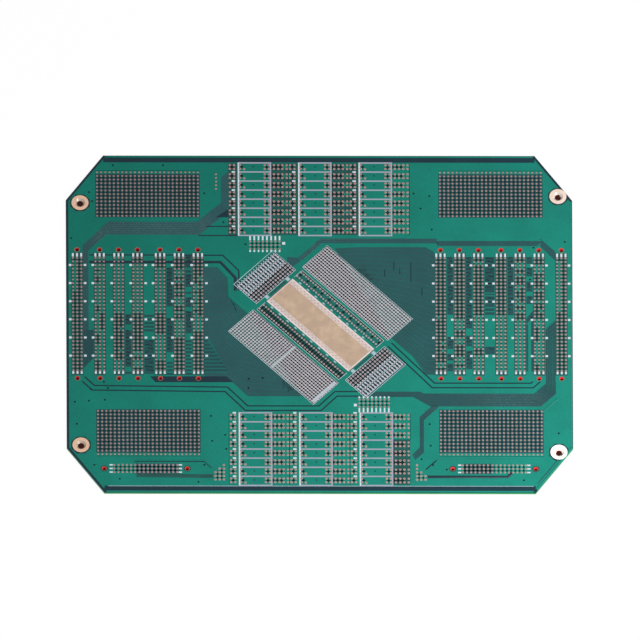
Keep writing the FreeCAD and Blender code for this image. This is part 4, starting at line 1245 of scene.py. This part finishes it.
class BOARD_OT_contact_area(bpy.types.Operator):
    """Make the turned contact area around the tan plate"""

    bl_idname = "board.contact_area"
    bl_label = "Contact Area"

    def execute(self, context):
        voids, lines, outlines = [], [], []
        for side, sign in DIAGONALS:
            places = []
            for i in range(FINE_COLUMNS):
                along = -FIELD_END + 0.9 + i * FINE_STEP
                for j in range(FINE_ROWS):
                    across = sign * (FIELD_IN + 1.15 + j * FINE_STEP)
                    places.append(turned(along, across))
                    if i < FINE_COLUMNS - 1 and j < FINE_ROWS - 1 and not (sign < 0 and (i < 20 or i > 38)):
                        voids.append(turned(along + FINE_STEP / 2, across + sign * FINE_STEP / 2))
            lands(f"contact_dots_{side}", places, FRONT, f"contact_field_{side}", kind="fine_", finish="pale plating")
            outlines.append(turned_frame(0, sign * FIELD_MID, 2 * FIELD_END + 0.2, FIELD_OUT - FIELD_IN + 0.2))
        for i in range(21):
            along = -FIELD_END + 0.9 + i * FINE_STEP
            lines.append([turned(along, -FIELD_IN - 0.6), turned(along, -FIELD_OUT + 0.6)])
        for j in range(FINE_ROWS):
            across = FIELD_IN + 1.15 + j * FINE_STEP
            lines.append([turned(0.6, -across), turned(FIELD_END - 3.2, -across)])
            lines.append([turned(-FIELD_END + 0.8, across), turned(FIELD_END - 0.8, across)])
        tracks("field_lines", lines, FRONT + SKIN, 0.42, 0.09, "faded ink", "legend_ink")
        solid_bars = [turned_box(FIELD_END - 1.6, -FIELD_MID, 2.2, 19.6), turned_box(0, -FIELD_MID, 0.7, 20.4)]
        lay("field_bars", solid_bars, FRONT, LOW_INK_TOP, "faded ink", "legend_ink")
        self.strips(outlines)
        self.ends(voids, outlines)
        void_plates("contact_voids", voids, FRONT + SKIN, 0.78, CENTRE_TURN + math.pi / 4)
        tracks("field_outlines", outlines, COPPER_TOP, 0.32, 0.05, "legend ink", "legend_ink")
        self.plate()
        return {"FINISHED"}

    def strips(self, outlines):
        slots, mint = [], []
        for side, sign in DIAGONALS:
            places = [turned(-PLATE_HALF + 0.7 + i * STRIP_STEP, sign * across)
                      for i in range(34) for across in (14.3, 17.9)]
            lands(f"strip_dots_{side}", places, COPPER_TOP, f"strip_lands_{side}", kind="strip_",
                  finish="strip plating")
            every, wide, long = (1, 1.4, 2.5) if sign < 0 else (3, 1.5, 1.6)
            slots += [turned_box(-PLATE_HALF + 1.7 + i * STRIP_STEP, sign * 16.3, wide, long)
                      for i in range(0, 34, every)]
            mint += [turned_box(-PLATE_HALF + 5.5 + i * 6.7, sign * 12.1, 1.7, 0.9) for i in range(9)]
            outlines.append([turned(-PLATE_HALF, sign * 12.6), turned(-PLATE_HALF, sign * 19.3),
                             turned(PLATE_HALF, sign * 19.3), turned(PLATE_HALF, sign * 12.6)])
            floor = turned_box(0, sign * 16, 2 * PLATE_HALF + 0.6, 6.2)
            lay(f"strip_copper_{side}", [floor], FRONT, COPPER_TOP,
                         "masked comb" if sign > 0 else "masked window", "masked_copper")
        lay("strip_slots", slots, COPPER_TOP, BARE_TOP, "dark void", "laminate")
        lay("strip_marks", mint, COPPER_TOP, INK_TOP, "faded ink", "legend_ink")

    def ends(self, voids, outlines):
        bars = []
        for end, sign in (("southeast", 1), ("northwest", -1)):
            places = [turned(sign * (39.2 + i * 2.1), -15.6 + j * END_STEP) for i in range(8) for j in range(END_ROWS)]
            lands(f"end_dots_{end}", places, FRONT, f"end_field_{end}", kind="fine_", finish="pale plating")
            voids.extend(turned(sign * (40.25 + i * 2.1), -14.56 + j * END_STEP)
                         for i in range(3) for j in range(END_ROWS - 1))
            reach = 17.9 if sign > 0 else 19.3
            bars += [turned_box(sign * (36.1 + reach * 0.763), -15.6 + j * END_STEP, reach - 8.3, 0.75)
                     for j in range(END_ROWS)]
            bars += [turned_box(sign * (46.3 + i * 4.2), 0, 0.5, 31.6) for i in range(3)]
            outlines.append(turned_frame(sign * (37.85 + reach / 2), 0, reach, 33.5))
        lay("end_field_bars", bars, FRONT, LOW_INK_TOP, "faded ink", "legend_ink")

    def plate(self):
        beds, bars, tips, corners = [], [], [], []
        for sign in (1, -1):
            beds.append(turned_box(0, sign * (PLATE_EDGE + 1.75), 2 * PLATE_HALF, 3.5))
            bars.append(turned_box(sign * 36.4, 0, 1.3, 13.8))
            tips.append(turned_box(0, sign * (PLATE_EDGE + 3.1), 2 * PLATE_HALF, 0.9))
            tips.append(turned_box(sign * (PLATE_HALF - 0.4), 0, 0.8, 2 * PLATE_EDGE))
            corners += [turned_box(sign * 36.6, across, 2.4, 2.2) for across in (8.9, -8.9)]
        lay("finger_beds", beds, FRONT, FRONT + 0.17, "finger plating", "contact_plate")
        spots = [turned_box(-33.4 + i * 1.45, sign * (8.5 + i % 2 * 1.3), 0.8, 0.55)
                 for i in range(47) for sign in (1, -1)]
        warm = [turned_box(-PLATE_HALF + 0.2, 0, 0.4, 2 * PLATE_EDGE)]
        lay("finger_marks", spots + warm, FRONT + 0.21, FRONT + 0.22, "finger marks", "contact_plate")
        lay("plate_bright_edges", tips, FRONT + 0.2, FRONT + 0.21, "bright plating", "contact_plate")
        lay("plate_end_bars", bars, COPPER_TOP, BARE_TOP, "masked deep", "masked_copper")
        lay("plate_corner_marks", corners, COPPER_TOP, INK_TOP, "faded ink", "legend_ink")


class BOARD_OT_routes(bpy.types.Operator):
    """Make the fine tracks, single bare lines and vias under the mask"""

    bl_idname = "board.routes"
    bl_label = "Routes"

    def execute(self, context):
        sizes = context.scene.route_sizes
        width = sizes.track / MM
        bundles = {"northwest": (NORTHWEST, 7), "northeast": (NORTHEAST, 3), "southeast": (SOUTHEAST, 8),
                   "branch": (BRANCH, 3)}
        for name, (route, number) in bundles.items():
            tracks(f"fine_tracks_{name}", between(route, number), FRONT, width, COPPER_TOP - FRONT,
                   "masked tracks", "masked_copper", f"tracks_{name}")
            lay(f"bundle_{name}", [band(route)], FRONT, BUNDLE_TOP, "masked tracks", "masked_copper")
        for name, route in (("west_fan", WEST_FAN), ("east_fan", EAST_FAN)):
            lay(f"dense_{name}", [band(route)], FRONT, BUNDLE_TOP, "masked tracks", "masked_copper", f"tracks_{name}")
            tracks(f"fan_lines_{name}", between(route, FAN_LINES), BUNDLE_TOP, 0.32, SWEPT_TOP - BUNDLE_TOP,
                   "masked comb", "masked_copper")
        for name, width, base, finish, paths in LINES:
            tracks(name, paths, base, width, 1.2 * SKIN, finish, "masked_copper")
        outline, *others = [list(points) for points in BARE_PATCHES]
        others += [circle(-x, LOWER, GUIDE_RADIUS, 24) for x in EAST[:3]]
        settle(drilled_board("bare_patches", outline, others, COPPER_TOP, BARE_TOP,
                             "masked laminate"), "laminate")
        lay("dense_patches", DENSE_PATCHES, COPPER_TOP, BARE_TOP, "masked tracks", "masked_copper")
        strokes = [[turned(-11 + i * 1.4, 43.4), turned(-10.4 + i * 1.4, 45 + i % 3)] for i in range(8)]
        strokes += [[turned(12 + i * 1.3, -43.4), turned(12.4 + i * 1.3, -45 - i % 3)] for i in range(7)]
        strokes += [[(x, y), (x, y + tall)] for x, y, tall in FAN_STROKES]
        tracks("fan_strokes", strokes, SWEPT_TOP, 0.4, SKIN, "dark void", "masked_copper")
        rays = [[(143.2, 4.0 - 3.2 * i), (137.6 + i, -2.4 - 2.2 * i), (137.6 + i, -46.0)] for i in range(5)]
        tracks("lane_lines", rays, COPPER_TOP, 0.3, SKIN, "masked comb", "masked_copper")
        lay("light_patches", [LIGHT_PATCH], COPPER_TOP, BARE_TOP, "masked copper", "masked_copper")
        vias = [circle(x, y, sizes.via / MM / 2, 8) for x, y in VIAS]
        lay("via_dots", vias, COPPER_TOP, COPPER_TOP + 2 * SKIN, "dark void", "laminate")
        return {"FINISHED"}


class BOARD_OT_legend(bpy.types.Operator):
    """Make the printed bars and ticks"""

    bl_idname = "board.legend"
    bl_label = "Legend"

    def execute(self, context):
        bars, short = [], []
        for x in EAST:
            for column in (-PITCH, 0, PITCH):
                bars += [(side * x + column, CONNECTOR_Y + 41.4) for side in (1, -1)]
                short += [(side * x + column, CONNECTOR_Y - 41.0) for side in (1, -1)]
        marks("end_bars", bars, FRONT, 1.15, 2.4, 0.13, "legend_end_bars")
        marks("short_end_bars", short, FRONT, 1.15, 1.7, 0.13)
        ticks = [(x, row_y(r)) for x in TICK_COLUMNS for r in TICK_ROWS]
        marks("row_ticks", ticks, COPPER_TOP, 1.55, 1.35, 0.05)
        return {"FINISHED"}


class BOARD_OT_finishes(bpy.types.Operator):
    """Give the nodes that stay their finishes"""

    bl_idname = "board.finishes"
    bl_label = "Finishes of the Nodes"

    def execute(self, context):
        chosen = {"front_copper": "masked copper", "contact_plate": "tan plate",
                  "plate_fingers_northeast": "finger plating", "plate_fingers_southwest": "finger plating"}
        chosen.update({f"mount_collar_{corner}": "collar metal" for corner in CORNERS})
        for side in ("top", "bottom"):
            chosen.update({f"channel_frame_{side}_{i}": "ladder ink" for i in (1, 2, 3)})
        for name, finish in chosen.items():
            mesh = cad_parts[name].data
            mesh.materials.clear()
            mesh.materials.append(finish_for(finish))
        return {"FINISHED"}


class BOARD_OT_stage(bpy.types.Operator):
    """Set up the pale floor, the soft light and the camera"""

    bl_idname = "board.stage"
    bl_label = "Stage"

    def execute(self, context):
        light = context.scene.stage_light
        scene = context.scene
        scene.view_settings.view_transform = "Standard"
        self.floor()
        self.sky(scene, light.sky)
        lamp = bpy.data.lights.new("soft lamp", "AREA")
        lamp.shape = "DISK"
        lamp.size = LAMP_SIZE
        lamp.energy = light.lamp
        holder = linked("soft lamp", lamp)
        holder.location = LAMP_PLACE
        holder.rotation_euler = (-holder.location).to_track_quat("-Z", "Y").to_euler()
        camera = bpy.data.cameras.new("product view")
        camera.type = "ORTHO"
        camera.ortho_scale = light.width
        view = linked("product view", camera)
        heading = Matrix.Rotation(math.radians(VIEW_TURN), 4, "Z")
        roll = Matrix.Rotation(math.radians(VIEW_ROLL - VIEW_TURN * math.sin(VIEW_RISE)), 4, "Z")
        tilt = Matrix.Rotation(math.pi / 2 - VIEW_RISE, 4, "X")
        back = heading @ Vector((0, -math.cos(VIEW_RISE), math.sin(VIEW_RISE)))
        aim = Vector(VIEW_AIM) * MM
        view.matrix_world = Matrix.Translation(aim + light.distance * back) @ heading @ tilt @ roll
        scene.camera = view
        return {"FINISHED"}

    def seen(self, tree):
        """One for rays from the camera, and for mirrored and refracted ones."""
        path = node(tree, "ShaderNodeLightPath").outputs
        direct = maths(tree, "MAXIMUM", path["Is Camera Ray"], path["Is Glossy Ray"])
        return maths(tree, "MAXIMUM", direct, path["Is Transmission Ray"])

    def floor(self):
        """White paper that only shows its upper side; under the board it is dark red-brown, a painted shadow with a
        painted red reflection of the hole linings, seen through the board's holes.
        """
        mesh = bpy.data.meshes.new("floor")
        mesh.from_pydata([(x, y, 0) for x, y in rectangle(0, 0, FLOOR_SIZE, FLOOR_SIZE)], [], [(0, 1, 2, 3)])
        floor = linked("floor", mesh)
        paper, tree, shader, place = blank_finish("pale floor")
        apart = node(tree, "ShaderNodeSeparateXYZ", {"Vector": place}).outputs
        reach_x, reach_y = maths(tree, "ABSOLUTE", apart["X"]), maths(tree, "ABSOLUTE", apart["Y"])
        beside = maths(tree, "MAXIMUM", maths(tree, "GREATER_THAN", reach_x, (HALF_X - 4) * MM),
                       maths(tree, "GREATER_THAN", reach_y, (HALF_Y - 4) * MM))
        cut = maths(tree, "ADD", maths(tree, "DIVIDE", reach_x, CUT_X * MM), maths(tree, "DIVIDE", reach_y, CUT_Y * MM))
        corner = HALF_X / CUT_X + HALF_Y / CUT_Y - 1.2
        beside = maths(tree, "MAXIMUM", beside, maths(tree, "GREATER_THAN", cut, corner))
        # Painted shadow and painted red reflection under the board; beside it the paper is white.
        feed(tree, shader, {"Base Color": mixed(tree, beside, screen(60, 28, 24), screen(240, 240, 240)),
                            "Roughness": 0.9, "Specular IOR Level": 0.0})
        white = node(tree, "ShaderNodeEmission", {"Color": (1, 1, 1, 1), "Strength": 1.0})
        share = maths(tree, "MULTIPLY", maths(tree, "MULTIPLY", self.seen(tree), beside), 0.95)
        shown = node(tree, "ShaderNodeMixShader", {0: share, 1: shader, 2: white})
        below = node(tree, "ShaderNodeNewGeometry").outputs["Backfacing"]
        one_way = node(tree, "ShaderNodeMixShader", {0: below, 1: shown, 2: node(tree, "ShaderNodeBsdfTransparent")})
        feed(tree, tree.nodes["Material Output"], {"Surface": one_way})
        mesh.materials.append(paper)

    def sky(self, scene, strength):
        world = bpy.data.worlds.new("even light")
        world.use_nodes = True
        scene.world = world
        tree = world.node_tree
        feed(tree, tree.nodes["Background"], {"Color": (1, 1, 1, 1),
                                              "Strength": spread(tree, self.seen(tree), 0.0, 1.0, strength, 1.0)})


OPERATORS = (BOARD_OT_laminate, BOARD_OT_window_floors, BOARD_OT_connector_lands, BOARD_OT_connector_copper,
             BOARD_OT_grid_lands, BOARD_OT_channels, BOARD_OT_small_lands, BOARD_OT_contact_area,
             BOARD_OT_routes, BOARD_OT_legend, BOARD_OT_finishes, BOARD_OT_stage)
SETTINGS = {"land_sizes": LandSizes, "route_sizes": RouteSizes, "board_colours": BoardColours,
            "stage_light": StageLight}


class BOARD_PT_sidebar(bpy.types.Panel):
    """Lists the board's pieces and their settings"""

    bl_idname = "BOARD_PT_sidebar"
    bl_label = "Circuit Board"
    bl_space_type = "VIEW_3D"
    bl_region_type = "UI"
    bl_category = "Circuit Board"

    def draw(self, context):
        for name, group in SETTINGS.items():
            box = self.layout.box()
            for prop in group.__annotations__:
                box.prop(getattr(context.scene, name), prop)
        for maker in OPERATORS:
            self.layout.operator(maker.bl_idname)


def register():
    for group in SETTINGS.values():
        bpy.utils.register_class(group)
    for maker in OPERATORS:
        bpy.utils.register_class(maker)
    bpy.utils.register_class(BOARD_PT_sidebar)
    for name, group in SETTINGS.items():
        setattr(bpy.types.Scene, name, PointerProperty(type=group))


def unregister():
    for name in SETTINGS:
        delattr(bpy.types.Scene, name)
    bpy.utils.unregister_class(BOARD_PT_sidebar)
    for maker in reversed(OPERATORS):
        bpy.utils.unregister_class(maker)
    for group in reversed(list(SETTINGS.values())):
        bpy.utils.unregister_class(group)


def main():
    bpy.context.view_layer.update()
    register()
    for maker in OPERATORS:
        group, name = maker.bl_idname.split(".")
        getattr(getattr(bpy.ops, group), name)()


if __name__ == "__main__":
    main()
